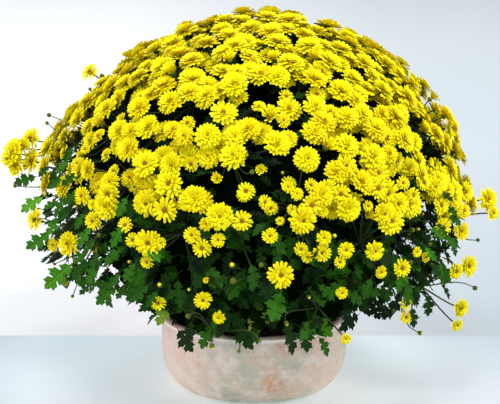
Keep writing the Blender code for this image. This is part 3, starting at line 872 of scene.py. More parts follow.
def patches_group():
    """Soft patches of a lighter and a darker tone, and their mask."""
    group, start, end = shader_group(
        "patches", [("Color", "Color", (1, 1, 1, 1)), ("Scale", "Float", 40.0), ("Amount", "Float", 0.2)],
        [("Color", "Color"), ("Mask", "Float")])
    place = wire(group, "ShaderNodeTexCoord").outputs["Object"]
    cloud = clouds(group, place, start.outputs["Scale"], 3.0)
    level = maths(group, "SUBTRACT", cloud, 0.5)
    gain = maths(group, "MULTIPLY_ADD", level, start.outputs["Amount"], 1.0)
    group.links.new(times(group, start.outputs["Color"], grey(group, gain)), end.inputs["Color"])
    group.links.new(cloud, end.inputs["Mask"])
    return group


class Finish:
    """A material: its node tree, its shader and the patches that vary its colour."""

    def __init__(self, name, roughness, patches=None, shine=0.5):
        self.made = bpy.data.materials.new(name)
        self.made.use_nodes = True
        self.tree = self.made.node_tree
        self.shader = self.tree.nodes["Principled BSDF"]
        self.shader.inputs["Roughness"].default_value = roughness
        self.shader.inputs["Specular IOR Level"].default_value = shine
        self.patches = patches

    def attribute(self, name):
        links = {"attribute_name": name, "attribute_type": "GEOMETRY"}
        return wire(self.tree, "ShaderNodeAttribute", **links).outputs["Fac"]

    def patchy(self, colour, scale, amount):
        """The colour and the mask of patches of a size and a strength over a colour."""
        links = {"Color": colour, "Scale": scale, "Amount": amount}
        made = wire(self.tree, "ShaderNodeGroup", links, node_tree=self.patches)
        return made.outputs["Color"], made.outputs["Mask"]

    def colour(self, value):
        self.tree.links.new(value, self.shader.inputs["Base Color"])

    def bump(self, height, strength, depth):
        links = {"Height": height, "Strength": strength, "Distance": depth}
        made = wire(self.tree, "ShaderNodeBump", links)
        self.tree.links.new(made.outputs[0], self.shader.inputs["Normal"])


def petal_material(patches):
    """Bright yellow petals, golden towards the middle and darker at each petal's base, partly their own
    colour and partly painted shade, with a disc and a green cup.
    """
    look = Finish("yellow petal", 0.6, patches, shine=0.12)
    tree = look.tree
    along = look.attribute("along")
    part = look.attribute("part")
    tone = look.attribute("tone")
    # Darker towards each petal's base: partly the flower's own golden colour, partly painted shade between
    # the petals
    yellow = ramp(tree, along, PETAL_YELLOWS_AND_SHADE)
    golden = mix(tree, maths(tree, "MULTIPLY", tone, 0.55), yellow, GOLDEN)
    petal_colour, grain = look.patchy(golden, *PETAL_PATCHES)
    unripe = mix(tree, tone, *CUP_GREENS)
    colour = petal_colour
    middles = (
        (PART_DISC, mix(tree, grain, *OLIVE_DISC)), (PART_BROWN_DISC, mix(tree, grain, *BROWN_DISC)),
        (PART_CUP, mix(tree, grain, unripe, CUP_PALER)))
    for number, middle in middles:
        is_part = maths(tree, "COMPARE", part, float(number), 0.4)
        colour = mix(tree, is_part, colour, middle)
    look.colour(colour)
    look.bump(grain, *PETAL_RELIEF)
    return look.made


def leaf_material(patches):
    """Dark green leaves, painted from deep shade to light by their tone, with paler ribs and side veins,
    paler underneath.
    """
    look = Finish("dark green leaf", 0.5, patches, shine=0.09)
    tree = look.tree
    along = look.attribute("along")
    aside = look.attribute("aside")
    # The tone paints each leaf's light and shade, from near black deep in the bush to lit yellow-green
    green = ramp(tree, look.attribute("tone"), LEAF_GREENS_SHADE_TO_LIT)
    blade, grain = look.patchy(green, *LEAF_PATCHES)
    rib = ranged(tree, aside, 0.0, RIB_WIDTH, 1.0, 0.0)
    slant = maths(tree, "MULTIPLY_ADD", aside, -VEIN_SLANT, along)
    wave = maths(tree, "SINE", maths(tree, "MULTIPLY", slant, VEIN_FINENESS))
    veins = ranged(tree, wave, 0.86, 1.0, 0.0, 0.7)
    marks = maths(tree, "MAXIMUM", rib, veins)
    top = mix(tree, marks, blade, times(tree, blade, RIB_TINT))
    back = wire(tree, "ShaderNodeNewGeometry").outputs["Backfacing"]
    look.colour(mix(tree, back, top, times(tree, blade, UNDERSIDE_TINT)))
    look.bump(maths(tree, "MULTIPLY_ADD", marks, -0.6, grain), *LEAF_RELIEF)
    return look.made


def shade_material(patches):
    """Foliage in deep shade: nearly black, with a little green."""
    look = Finish("deep green shade", 1.0, patches, shine=0.0)
    look.colour(look.patchy(DEEP_SHADE, *SHADE_PATCHES)[0])
    return look.made


def stalk_material(patches):
    """Green stalks that turn brown towards the soil, and are painted dark inside the bush as shade."""
    look = Finish("green stalk", 0.6, patches, shine=0.2)
    tree = look.tree
    place, axes = place_on(tree)
    colour = mix(tree, ranged(tree, axes[2], SOIL_TOP - 0.005, STALK_GREEN_AT), WOODY_STALK, GREEN_STALK)
    away = wire(tree, "ShaderNodeVectorMath", {0: place, 1: tuple(HEART)}, operation="SUBTRACT").outputs[0]
    spread = (1 / BUSH_RADIUS, 1 / BUSH_RADIUS, 1 / DOME_RISE)
    share = wire(tree, "ShaderNodeVectorMath", {0: away, 1: spread}, operation="MULTIPLY").outputs[0]
    depth = wire(tree, "ShaderNodeVectorMath", {0: share}, operation="LENGTH").outputs["Value"]
    colour = times(tree, colour, grey(tree, ranged(tree, depth, *STALK_SHADING)))
    look.colour(look.patchy(colour, *STALK_PATCHES)[0])
    return look.made


def bowl_material(patches):
    """Terracotta under a thin chalky wash: pink patches, grey bloom, a greyer middle that is partly painted
    shade, turning marks, and a rubbed lip edge whose whiter line is partly painted highlight.
    """
    look = Finish("whitewashed terracotta", 0.85, patches)
    tree = look.tree
    place, axes = place_on(tree)
    wash = ramp(tree, clouds(tree, place, *WASH_CLOUDS), WASH)
    # Painted shade: the middle of the bowl, under the bush, is greyer, partly as chalk
    middle = ranged(tree, maths(tree, "ABSOLUTE", axes[0]), *GREYER_ACROSS)
    wash = mix(tree, middle, wash, times(tree, wash, GREY_AND_SHADE))
    wash = mix(tree, ranged(tree, axes[0], *PINKER_ACROSS), wash, PINKER)
    chalk = ranged(tree, clouds(tree, place, *CHALK_CLOUDS), *CHALK_OVER)
    colour = mix(tree, chalk, wash, CHALK)
    squashed = wire(tree, "ShaderNodeMapping", {"Vector": place, "Scale": TURNING_MARKS}).outputs[0]
    rings = clouds(tree, squashed, 1.0, 2.0)
    colour = times(tree, colour, grey(tree, maths(tree, "MULTIPLY_ADD", rings, 0.16, 0.92)))
    # A darker band over the lip's edge, and a whiter line along it, partly rubbed chalk and partly painted
    # highlight
    arris = BOWL_HEIGHT - LIP_ROUND
    under = ranged(tree, axes[2], arris - 0.0022, arris - 0.0004)
    over = ranged(tree, axes[2], arris + 0.0004, arris + 0.0018)
    rubbed_and_highlit = maths(tree, "MULTIPLY", under, maths(tree, "SUBTRACT", 1.0, over))
    colour = mix(tree, over, colour, times(tree, colour, LIP_TOP))
    colour = mix(tree, maths(tree, "MULTIPLY", rubbed_and_highlit, 0.75), colour, RUBBED_AND_HIGHLIT_EDGE)
    colour, grain = look.patchy(colour, *BOWL_PATCHES)
    look.colour(colour)
    look.bump(maths(tree, "MULTIPLY_ADD", rings, 1.4, grain), *BOWL_RELIEF)
    return look.made


def soil_material(patches):
    look = Finish("dark potting soil", 0.95, patches)
    colour, grain = look.patchy(SOIL_BROWN, *SOIL_PATCHES)
    look.colour(colour)
    look.bump(grain, *SOIL_RELIEF)
    return look.made


def floor_material():
    """A pale table, and behind it a white wall that greys to the right and at its foot as painted shade; the
    table is painted brighter near the bowl, and both glow a little there, as painted light against the bush's
    shadow.
    """
    look = Finish("pale table", 0.6)
    tree = look.tree
    place, axes = place_on(tree)
    right = ranged(tree, axes[0], *WALL_ACROSS)
    # Painted shade: the wall greys to the right, most near the table, and darkens at its foot
    shaded = mix(tree, ranged(tree, axes[1], *WALL_DEEP), *WALL_RIGHT)
    wall = mix(tree, right, WALL_LEFT, shaded)
    wall = times(tree, wall, grey(tree, ranged(tree, axes[1], *WALL_SHADED_FOOT)))
    edge = ranged(tree, axes[1], TABLE_BACK, TABLE_BACK + 0.004)
    # Painted light: the table is brightest near the bowl, where the bush's shadow falls, and darker further
    # out and in front
    away = wire(tree, "ShaderNodeVectorMath", {0: place}, operation="LENGTH").outputs["Value"]
    far = ranged(tree, away, *TABLE_FAR)
    fore = ranged(tree, axes[1], *TABLE_FORE)
    table = mix(tree, maths(tree, "MAXIMUM", far, fore), *TABLE_NEAR_AND_FAR)
    look.colour(mix(tree, edge, table, wall))
    # Painted light: the stage glows where the bush's shadow falls, but not in front
    links = {0: place, 1: UNDER_BUSH}
    under = wire(tree, "ShaderNodeVectorMath", links, operation="DISTANCE").outputs["Value"]
    behind = maths(tree, "SUBTRACT", 1.0, fore)
    shadow_glow = maths(tree, "MULTIPLY", ranged(tree, under, *SHADOW_RANGE, SHADOW_LIFT, 0.0), behind)
    tree.links.new(shadow_glow, look.shader.inputs["Emission Strength"])
    lift = mix(tree, edge, TABLE_LIFT, ramp(tree, right, WALL_LIFT))
    tree.links.new(lift, look.shader.inputs["Emission Color"])
    return look.made


# Flowers

def petal(name, sections):
    """One strap petal along +X, closed: two edges over a keel, pointed at both ends."""
    builder = bmesh.new()
    root = builder.verts.new((0, 0, 0))
    tip = builder.verts.new((1, 0, PETAL_TIP_LIFT))
    rows = []
    for along, half, lift in sections:
        left = builder.verts.new((along, half, lift))
        keel = builder.verts.new((along, 0, lift - PETAL_KEEL))
        right = builder.verts.new((along, -half, lift))
        rows.append((left, keel, right))
    for i in range(3):
        j = (i + 1) % 3
        builder.faces.new((root, rows[0][i], rows[0][j]))
        for near, far in zip(rows, rows[1:]):
            builder.faces.new((near[i], far[i], far[j], near[j]))
        builder.faces.new((rows[-1][i], tip, rows[-1][j]))
    mesh = mesh_from(builder, name)
    mark(mesh, "along", [point.co.x for point in mesh.vertices])
    mark(mesh, "part", [PART_PETAL] * len(mesh.vertices))
    return link_object(name, mesh)


def button(name, part, radius, above, below, sides):
    """A closed lens: a round face that rises above its edge and bulges below it."""
    builder = bmesh.new()
    bmesh.ops.create_uvsphere(builder, u_segments=sides, v_segments=4, radius=1)
    for point in builder.verts:
        rise = above if point.co.z > 0 else below
        point.co = Vector((point.co.x * radius, point.co.y * radius, point.co.z * rise))
    mesh = mesh_from(builder, name)
    mark(mesh, "along", [0.5] * len(mesh.vertices))
    mark(mesh, "part", [part] * len(mesh.vertices))
    return link_object(name, mesh)


def flower_tree(rings):
    """Rings of petals round a disc and over a cup, with the sizes of each ring as inputs."""
    tree = Tree(f"petal_rings_{rings}")
    long_petal = tree.input("Long Petal", "Object")
    short_petal = tree.input("Short Petal", "Object")
    disc = tree.input("Disc", "Object")
    cup = tree.input("Cup", "Object")
    unevenness = tree.input("Unevenness", "Float")
    seed = tree.input("Seed", "Int")
    outer = tree.shape_of(long_petal)
    inner = tree.shape_of(short_petal)
    held = []
    for ring in range(rings):
        count = tree.input(f"Petals {ring + 1}", "Int")
        reach = tree.input(f"Reach {ring + 1}", "Float")
        rise = tree.input(f"Rise {ring + 1}", "Float")
        line = tree.node("GeometryNodePoints", {"Count": count}).outputs[0]
        index = tree.node("GeometryNodeInputIndex").outputs[0]
        step = tree.maths("DIVIDE", math.tau, count)
        ring_seed = tree.maths("ADD", seed, float(ring))
        wobble = tree.random(-0.5, 0.5, {"ID": index, "Seed": ring_seed})
        uneven = tree.maths("MULTIPLY", wobble, unevenness)
        offset = tree.maths("ADD", tree.maths("ADD", index, uneven), RING_TURN * ring)
        turn = tree.maths("MULTIPLY", offset, step)
        tilt = tree.maths("MULTIPLY_ADD", uneven, -PETAL_TILT, rise)
        down = tree.maths("MULTIPLY", tilt, -1.0)
        spin = tree.node("ShaderNodeCombineXYZ", {0: uneven, 1: down, 2: turn}).outputs[0]
        length = tree.maths("MULTIPLY", tree.maths("MULTIPLY_ADD", uneven, *PETAL_LENGTH), reach)
        size = tree.node("ShaderNodeCombineXYZ", {0: length, 1: 1.0, 2: 1.0}).outputs[0]
        copies = tree.node("GeometryNodeInstanceOnPoints", {
            "Points": line, "Instance": inner if ring else outer,
            "Rotation": tree.turn_from(spin), "Scale": size})
        held.append(copies.outputs[0])
    return tree.finish(tree.join(held + [tree.shape_of(disc), tree.shape_of(cup)]))


def flower_kinds(finish):
    """A collection with one unit flower of each kind, facing +Z."""
    kinds = bpy.data.collections.new("flower_kinds")
    long_petal = petal("long_petal", LONG_PETAL)
    short_petal = petal("short_petal", SHORT_PETAL)
    cup = button("cup", PART_CUP, CUP_RADIUS, EDGE_ROUND, CUP_DROP, 7)
    trees = {}
    helpers = [long_petal, short_petal, cup]
    for number, (rings, disc_radius, disc_part) in enumerate(KINDS):
        disc = button(f"disc_{number}", disc_part, disc_radius, DISC_RISE, EDGE_ROUND, 8)
        helpers.append(disc)
        if len(rings) not in trees:
            trees[len(rings)] = flower_tree(len(rings))
        values = {"Long Petal": long_petal, "Short Petal": short_petal, "Disc": disc, "Cup": cup,
                  "Unevenness": PETAL_UNEVENNESS, "Seed": 20 + 7 * number, "Finish": finish}
        for ring, (count, reach, rise) in enumerate(rings):
            values[f"Petals {ring + 1}"] = count
            values[f"Reach {ring + 1}"] = reach
            values[f"Rise {ring + 1}"] = math.radians(rise)
        point = bpy.data.meshes.new("point")
        made = grown(f"kind_{number}", point, trees[len(rings)], values)
        bpy.context.scene.collection.objects.unlink(made)
        kinds.objects.link(made)
    for helper in helpers:
        bpy.data.objects.remove(helper)
    return kinds


# Scattering

def scatter_tree():
    """Copies of a collection's shapes on points, by each point's kind, spin and size."""
    tree = Tree("scatter")
    copies = tree.input("Copies", "Collection")
    unevenness = tree.input("Unevenness", "Float")
    seed = tree.input("Seed", "Int")
    links = {"Collection": copies, "Separate Children": True, "Reset Children": True}
    shapes = tree.node("GeometryNodeCollectionInfo", links).outputs[0]
    spin = tree.turn_from(tree.attribute("spin", "FLOAT_VECTOR"))
    less = tree.maths("MULTIPLY", tree.random(0.0, 1.0, {"Seed": seed}), unevenness)
    size = tree.maths("MULTIPLY", tree.maths("SUBTRACT", 1.0, less), tree.attribute("size"))
    placed = tree.node("GeometryNodeInstanceOnPoints", {
        "Points": tree.start.outputs[0], "Instance": shapes, "Pick Instance": True,
        "Instance Index": tree.attribute("kind", "INT"), "Rotation": spin, "Scale": size})
    return tree.finish(placed.outputs[0])


def points_mesh(places, spins, sizes, kinds, tones):
    mesh = bpy.data.meshes.new("places")
    mesh.from_pydata(places, [], [])
    mark(mesh, "spin", [angle for spin in spins for angle in spin], "FLOAT_VECTOR", "vector")
    mark(mesh, "size", sizes)
    mark(mesh, "tone", tones)
    mark(mesh, "kind", kinds, "INT")
    return mesh


def spin_to(facing, turn):
    """The turn that brings +Z to a direction, after a turn about it."""
    aim = facing.to_track_quat("Z", "Y").to_matrix()
    return (aim @ Matrix.Rotation(turn, 3, "Z")).to_euler()


def make_flowers(sprays, kinds, tree, finish):
    """One piece of flowers for each spray of the solids."""
    for number, (_, held) in enumerate(sprays):
        mesh = points_mesh(
            [flower.place for flower in held], [spin_to(flower.facing, flower.turn) for flower in held],
            [flower.radius for flower in held], [flower.kind for flower in held],
            [flower.tone for flower in held])
        values = {"Copies": kinds, "Unevenness": 0.0, "Seed": number, "Finish": finish}
        made = grown(f"flowers_{number + 1:02d}", mesh, tree, values)
        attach(made, "root")
        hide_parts(f"spray_{number + 1:02d}")


# Stalks

def stalk_tree():
    """Round stalks along edges, as thick at each point as the point says."""
    tree = Tree("stalks")
    sides = tree.input("Sides", "Int")
    thick = tree.attribute("thick")
    curve = tree.node("GeometryNodeMeshToCurve", {"Mesh": tree.start.outputs[0]}).outputs[0]
    ring = tree.node("GeometryNodeCurvePrimitiveCircle", {"Resolution": sides, "Radius": 1.0}).outputs[0]
    sized = tree.node("GeometryNodeSetCurveRadius", {"Curve": curve, "Radius": thick}).outputs[0]
    links = {"Curve": sized, "Profile Curve": ring, "Fill Caps": True}
    made = tree.node("GeometryNodeCurveToMesh", links)
    if "Scale" in made.inputs:
        tree.tree.links.new(thick, made.inputs["Scale"])
    smooth = tree.node("GeometryNodeSetShadeSmooth", {"Geometry": made.outputs[0]}).outputs[0]
    return tree.finish(smooth)


def make_stalks(name, paths, tree, sides, finish):
    """One piece of stalks from paths of points, each with a root and a tip radius."""
    places, edges, thick = [], [], []
    for points, (root, tip) in paths:
        start = len(places)
        places += points
        edges += [(start + i, start + i + 1) for i in range(len(points) - 1)]
        thick += [root + (tip - root) * i / (len(points) - 1) for i in range(len(points))]
    mesh = bpy.data.meshes.new("paths")
    mesh.from_pydata(places, edges, [])
    mark(mesh, "thick", thick)
    made = grown(name, mesh, tree, {"Sides": sides, "Finish": finish})
    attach(made, "root")


def bent_path(start, end, along_end, steps):
    """Points of a curve that leaves the start towards the end and arrives along a direction."""
    reach = (end - start).length
    out = start + (end - start) * PATH_LEAVES
    arrive = end - along_end * reach * PATH_ARRIVES
    points = []
    for i in range(steps + 1):
        t = i / steps
        near = (1 - t) ** 3 * start + 3 * t * (1 - t) ** 2 * out
        points.append(near + 3 * t * t * (1 - t) * arrive + t ** 3 * end)
    return points


# Leaves

def leaf(name, droop, fold, twist, width):
    """A lobed leaf along +X with a raised face, thickened to a closed blade."""
    builder = bmesh.new()

    def lay(along, aside):
        bend = -droop * along * along + fold * abs(aside)
        wave = LEAF_WAVE * math.sin(along * LEAF_WAVES) * abs(aside) / 0.3
        turned = aside + twist * along * along
        return builder.verts.new((along * (1 - DROOP_SHORTENS * abs(droop) * along), turned, bend + wave))

    rib = [lay(along, 0) for along in LEAF_RIB]
    tip = lay(1, 0)
    stem = lay(0, 0)
    for sign in (1, -1):
        edge = [stem] + [lay(along, sign * half * width) for along, half in LEAF_SIDE[1:-1]] + [tip]
        spine = [stem] + rib + [tip]
        i, j = 0, 0
        while i < len(edge) - 1 or j < len(spine) - 1:
            step_edge = i < len(edge) - 1 and (j == len(spine) - 1 or edge[i + 1].co.x <= spine[j + 1].co.x)
            if step_edge:
                corners = (edge[i], edge[i + 1], spine[j])
                i += 1
            else:
                corners = (edge[i], spine[j + 1], spine[j])
                j += 1
            if len(set(corners)) == 3:
                builder.faces.new(corners if sign < 0 else corners[::-1])
    mesh = mesh_from(builder, name, turn_out=False)
    if mesh.polygons[0].normal.z < 0:
        mesh.flip_normals()
    made = link_object(name, mesh)
    skin = made.modifiers.new("thickness", "SOLIDIFY")
    skin.thickness = LEAF_THICKNESS / LEAF_USUAL
    skin.offset = 0
    graph = bpy.context.evaluated_depsgraph_get()
    blade = bpy.data.meshes.new_from_object(made.evaluated_get(graph))
    made.modifiers.clear()
    made.data = blade
    mark(blade, "along", [point.co.x for point in blade.vertices])
    mark(blade, "aside", [abs(point.co.y - twist * point.co.x ** 2) for point in blade.vertices])
    return made


def leaf_shapes():
    shapes = bpy.data.collections.new("leaf_shapes")
    for number, values in enumerate(LEAF_SHAPES):
        made = leaf(f"leaf_{number}", *values)
        bpy.context.scene.collection.objects.unlink(made)
        shapes.objects.link(made)
    return shapes


class Leaf:
    """One leaf: its stalk's place, the way it points, the way its face looks, and its size."""

    def __init__(self, root, heading, face, length, tone, shape):
        self.root = root
        self.tip = root + length * heading
        side = face.cross(heading).normalized()
        self.spin = Matrix((heading, side, heading.cross(side))).transposed().to_euler()
        self.length = length
        self.tone = tone
        self.shape = shape
        self.sector = sector_of(root)


def free_leaf(direction, depth, lean, chance, tone):
    """A leaf somewhere on the bush, pointing out and leaning up or down."""
    place = within(direction, depth)
    out = (place - HEART).normalized()
    turn = chance.uniform(-LEAF_TURN, LEAF_TURN)
    around = Vector((-out.y, out.x, 0)).normalized()
    heading = (out * LEAF_OUTWARDS + Vector((0, 0, lean)) + around * turn).normalized()
    face = (out * 0.7 + Vector((0, 0, 0.6)) + around * chance.uniform(-0.5, 0.5)).normalized()
    length = chance.uniform(*LEAF_LENGTH)
    root = place - heading * length * LEAF_MIDDLE
    return Leaf(root, heading, face, length, tone, chance.randrange(len(LEAF_SHAPES)))


def scattered_leaves(chance):
    """The leaves of the belt, the canopy and the inside, stem by stem."""
    found = []
    for number in range(STEM_COUNT):
        for group, (count, ups, depths, leans, tones) in LEAF_GROUPS.items():
            for _ in range(count):
                angle = number * SECTOR + chance.uniform(-0.5, 0.5) * SECTOR
                up = chance.uniform(*ups)
                if group == "canopy":
                    up = 1 - up ** CANOPY_SPREAD
                depth = chance.uniform(*depths)
                lean = chance.uniform(*leans)
                tone = chance.uniform(*tones)
                if group == "belt":
                    tone **= BELT_SHADE_POWER
                found.append(free_leaf(slope(up, angle), depth, lean, chance, tone))
    return found


def low_leaves(chance):
    """Leaves round the foot of the stems, painted dark as shade by low tones, which hide the soil from the
    side.
    """
    found = []
    for number in range(STEM_COUNT):
        for _ in range(LEAVES_OVER_SOIL):
            angle = number * SECTOR + chance.uniform(-0.5, 0.5) * SECTOR
            radius = chance.uniform(*LOW_RING)
            height = chance.uniform(*LOW_HEIGHT)
            out = slope(0, angle)
            around = Vector((-out.y, out.x, 0)) * chance.uniform(-0.9, 0.9)
            heading = (out + around + Vector((0, 0, chance.uniform(-0.45, 0.5)))).normalized()
            face = (0.8 * out + Vector((0, 0, chance.uniform(0.3, 1.0)))).normalized()
            root = radius * out + Vector((0, 0, height))
            length = chance.uniform(*LEAF_LENGTH)
            found.append(Leaf(root, heading, face, length, chance.uniform(0, 0.55), chance.randrange(3)))
    return found


def lip_leaves(chance):
    """Leaves that hang over the bowl's lip at its sides and back, where the picture shows none."""
    found = []
    for number in range(STEM_COUNT):
        for _ in range(LEAVES_OVER_LIP):
            angle = number * SECTOR + chance.uniform(-0.45, 0.45) * SECTOR
            out = slope(0, angle)
            above = Vector((0, 0, BOWL_HEIGHT + chance.uniform(*LIP_LEAF_UP)))
            root = (BOWL_RADIUS - LIP_LEAF_IN) * out + above
            around = Vector((-out.y, out.x, 0)) * chance.uniform(-0.5, 0.5)
            heading = (out + around + Vector((0, 0, chance.uniform(-0.50, -0.25)))).normalized()
            face = (0.7 * out + Vector((0, 0, 0.7))).normalized()
            length = chance.uniform(*LIP_LEAF_LENGTH)
            if out.y > LIP_LEAVES_BEHIND:
                tone = chance.uniform(0.1, 0.8)
                found.append(Leaf(root, heading, face, length, tone, 1 + chance.randrange(2)))
    return found


def shown_leaves(chance):
    """The leaves of the list, each laid from its root's sight line to its tip's."""
    found = []
    for x0, y0, x1, y1, radius, tone in SHOWN_LEAVES:
        root = sighted_at(x0, y0, radius) if radius else sighted(x0, y0)
        tip = at_depth(x1, y1, (root - EYE).dot(LEVEL) - SHOWN_TIP_NEARER)
        heading = (tip - root).normalized()
        tilt = Vector((chance.uniform(-0.4, 0.4), 0, chance.uniform(0.2, 0.7)))
        face = (tilt - LEVEL).normalized()
        length = (tip - root).length * SHOWN_LONGER
        back = root - SHOWN_ROOT_BACK * (tip - root)
        found.append(Leaf(back, heading, face, length, tone, chance.randrange(3)))
    return found


def core(number):
    """The core of one stem, which stands for its inner foliage in painted deep shade: a ruffled wedge under
    the leaves.
    """
    builder = bmesh.new()
    rows, turns = 22, 12
    rings = []
    for row in range(rows + 1):
        up = CORE_FOOT + (1 - CORE_FOOT) * row / rows
        ring = []
        for turn in range(turns + 1):
            angle = (number - 0.5 + turn / turns) * SECTOR
            ripple = math.sin(angle * 40 + row * 2.3) * math.sin(angle * 16 - row * 1.7)
            share = CORE_LOW + (CORE_HIGH - CORE_LOW) * min(1, max(0, up / CORE_WIDENS))
            ring.append(builder.verts.new(within(slope(up, angle), share + CORE_RUFFLE * ripple)))
        rings.append(ring)
    foot = builder.verts.new(Vector((HEART.x, HEART.y, rings[0][0].co.z)))
    top = builder.verts.new(HEART + Vector((0, 0, CORE_HIGH * DOME_RISE)))
    for row in range(rows):
        for turn in range(turns):
            a, b = rings[row][turn], rings[row][turn + 1]
            c, d = rings[row + 1][turn + 1], rings[row + 1][turn]
            builder.faces.new((a, b, c, d))
    for turn in range(turns):
        builder.faces.new((foot, rings[0][turn + 1], rings[0][turn]))
    for side in (0, turns):
        edge = [foot] + [rings[row][side] for row in range(rows + 1)] + [top]
        builder.faces.new(edge if side == 0 else edge[::-1])
    bmesh.ops.remove_doubles(builder, verts=builder.verts, dist=MERGED)
    return mesh_from(builder, "core")


def hangs_too_low(one):
    """True for a leaf whose tip would show under the bush where the photo is clear."""
    across, down = pictured(one.tip)
    return any(left < across < right and down > lowest for left, right, lowest in CLEAR_BELOW)


def make_leaves(shapes, tree, finish, shade):
    """One piece of leaves over a core painted near black as deep shade, for each leafy stem of the solids."""
    chance = random.Random(SEED + 2)
    loose = [one for one in scattered_leaves(chance) + low_leaves(chance) if not hangs_too_low(one)]
    leaves = loose + shown_leaves(chance) + lip_leaves(chance)
    for number in range(STEM_COUNT):
        held = [one for one in leaves if one.sector == number]
        mesh = points_mesh(
            [one.root for one in held], [one.spin for one in held], [one.length for one in held],
            [one.shape for one in held], [one.tone for one in held])
        values = {"Copies": shapes, "Unevenness": 0.15, "Seed": 40 + number, "Finish": finish}
        made = grown(f"leaves_{number + 1}", mesh, tree, values)
        builder = bmesh.new()
        builder.from_mesh(made.data)
        leafy = len(builder.faces)
        builder.from_mesh(core(number))
        builder.faces.ensure_lookup_table()
        for face in builder.faces[leafy:]:
            face.material_index = 1
        builder.to_mesh(made.data)
        builder.free()
        made.data.materials.append(shade)
        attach(made, "root")
        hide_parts(f"leafy_stem_{number + 1}")


# Buds

def bud_shapes():
    """Two round ridged buds: a closed green one, and a taller one that shows yellow."""
    shapes = bpy.data.collections.new("bud_shapes")
    for number, rise in enumerate(BUD_RISES):
        builder = bmesh.new()
        bmesh.ops.create_uvsphere(builder, u_segments=10, v_segments=7, radius=1)
        for point in builder.verts:
            angle = math.atan2(point.co.y, point.co.x)
            ridge = 1 + BUD_RIDGE * math.cos(5 * angle)
            point.co = Vector((point.co.x * ridge, point.co.y * ridge, point.co.z * rise))
        mesh = mesh_from(builder, f"bud_{number}")
        open_from = YELLOW_FROM * rise if number else math.inf
        mark(mesh, "part", [PART_PETAL if point.co.z > open_from else PART_CUP for point in mesh.vertices])
        mark(mesh, "along", [0.8] * len(mesh.vertices))
        mesh.shade_smooth()
        made = bpy.data.objects.new(f"bud_{number}", mesh)
        shapes.objects.link(made)
    return shapes


def bud_places(chance):
    """Each bud's place, facing and radius."""
    found = []
    for across, down, width in SHOWN_BUDS:
        place = sighted(across, down)
        out = (place - HEART).normalized()
        facing = (out + Vector((chance.uniform(-0.5, 0.5), 0, chance.uniform(-0.1, 0.7)))).normalized()
        found.append((place, facing, true_radius(width, VIEW_DISTANCE) * BUD_SHARE))
    for _ in range(BUDS_BY_RULE):
        up = chance.uniform(*BUD_UP)
        direction = slope(up, chance.uniform(0, math.tau))
        depths = BUD_DEPTH_LOW if up < LOW_BUDS else BUD_DEPTH_HIGH
        place = within(direction, chance.uniform(*depths))
        out = (place - HEART).normalized()
        facing = (out + Vector([chance.uniform(-0.5, 0.5) for _ in range(3)])).normalized()
        found.append((place, facing, chance.uniform(*BUD_RADIUS)))
    return found


def make_buds(tree, finish):
    chance = random.Random(SEED + 3)
    buds = bud_places(chance)
    mesh = points_mesh(
        [bud[0] for bud in buds], [spin_to(bud[1], 0.0) for bud in buds], [bud[2] for bud in buds],
        [chance.randrange(2) for _ in buds], [chance.uniform(0, 1) for _ in buds])
    values = {"Copies": bud_shapes(), "Unevenness": 0.2, "Seed": 5, "Finish": finish}
    made = grown("buds", mesh, tree, values)
    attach(made, "root")
    return buds


# Stems inside the bush

def make_stems(sprays, buds, finish):
    """Main stems from the soil, their branches to the shoots, and the stalks of flowers and buds."""
    tree = stalk_tree()
    trunks = []
    forks = []
    for number in range(STEM_COUNT):
        out = slope(0, number * SECTOR)
        start = out * STEM_RING + Vector((0, 0, SOIL_TOP - STEM_SUNK))
        fork = out * (STEM_RING + FORK_OUT) + Vector((0, 0, FORK_HEIGHT))
        trunks.append((bent_path(start, fork, (out + Vector((0, 0, 0.8))).normalized(), 6), TRUNK))
        forks.append(fork)
    knobs = [HEART + KNOB_SHARE * end for end, _ in sprays]
    thin = [[] for _ in range(STEM_COUNT)]
    for knob, (end, held) in zip(knobs, sprays):
        home = sector_of(end)
        trunks.append((bent_path(forks[home], knob, end.normalized(), 7), BRANCH))
        for flower in held:
            foot = flower.place - flower.facing * flower.radius * FLOWER_FOOT
            thin[home].append((bent_path(knob, foot, flower.facing, 5), FLOWER_STALK))
    make_stalks("stems", trunks, tree, 8, finish)
    for place, facing, radius in buds:
        knob = min(knobs, key=lambda point: (point - place).length)
        path = bent_path(knob, place - facing * radius * BUD_FOOT, facing, 6)
        thin[sector_of(knob)].append((path, BUD_STALK))
    for number, paths in enumerate(thin):
        make_stalks(f"stalks_{number + 1}", paths, tree, 5, finish)


# Bowl and soil

def turned(name, profile, sides):
    """A body turned about the axis from a closed profile of radius and height."""
    mesh = bpy.data.meshes.new(name)
    edges = [(i, i + 1) for i in range(len(profile) - 1)]
    mesh.from_pydata([(radius, 0, height) for radius, height in profile], edges, [])
    holder = link_object(name + "_profile", mesh)
    screw = holder.modifiers.new("turn", "SCREW")
    screw.steps = sides
    screw.render_steps = sides
    screw.use_merge_vertices = True
    screw.merge_threshold = MERGED
    graph = bpy.context.evaluated_depsgraph_get()
    made = bpy.data.meshes.new_from_object(holder.evaluated_get(graph))
    bpy.data.objects.remove(holder)
    builder = bmesh.new()
    builder.from_mesh(made)
    bmesh.ops.remove_doubles(builder, verts=builder.verts, dist=MERGED)
    bmesh.ops.recalc_face_normals(builder, faces=builder.faces)
    builder.to_mesh(made)
    builder.free()
    return link_object(name, made)


def arc(middle, radius, first, last, steps):
    """Points of an arc in the profile's plane, with its angles in degrees."""
    points = []
    for i in range(steps + 1):
        angle = math.radians(first + (last - first) * i / steps)
        points.append((middle[0] + radius[0] * math.cos(angle), middle[1] + radius[1] * math.sin(angle)))
    return points


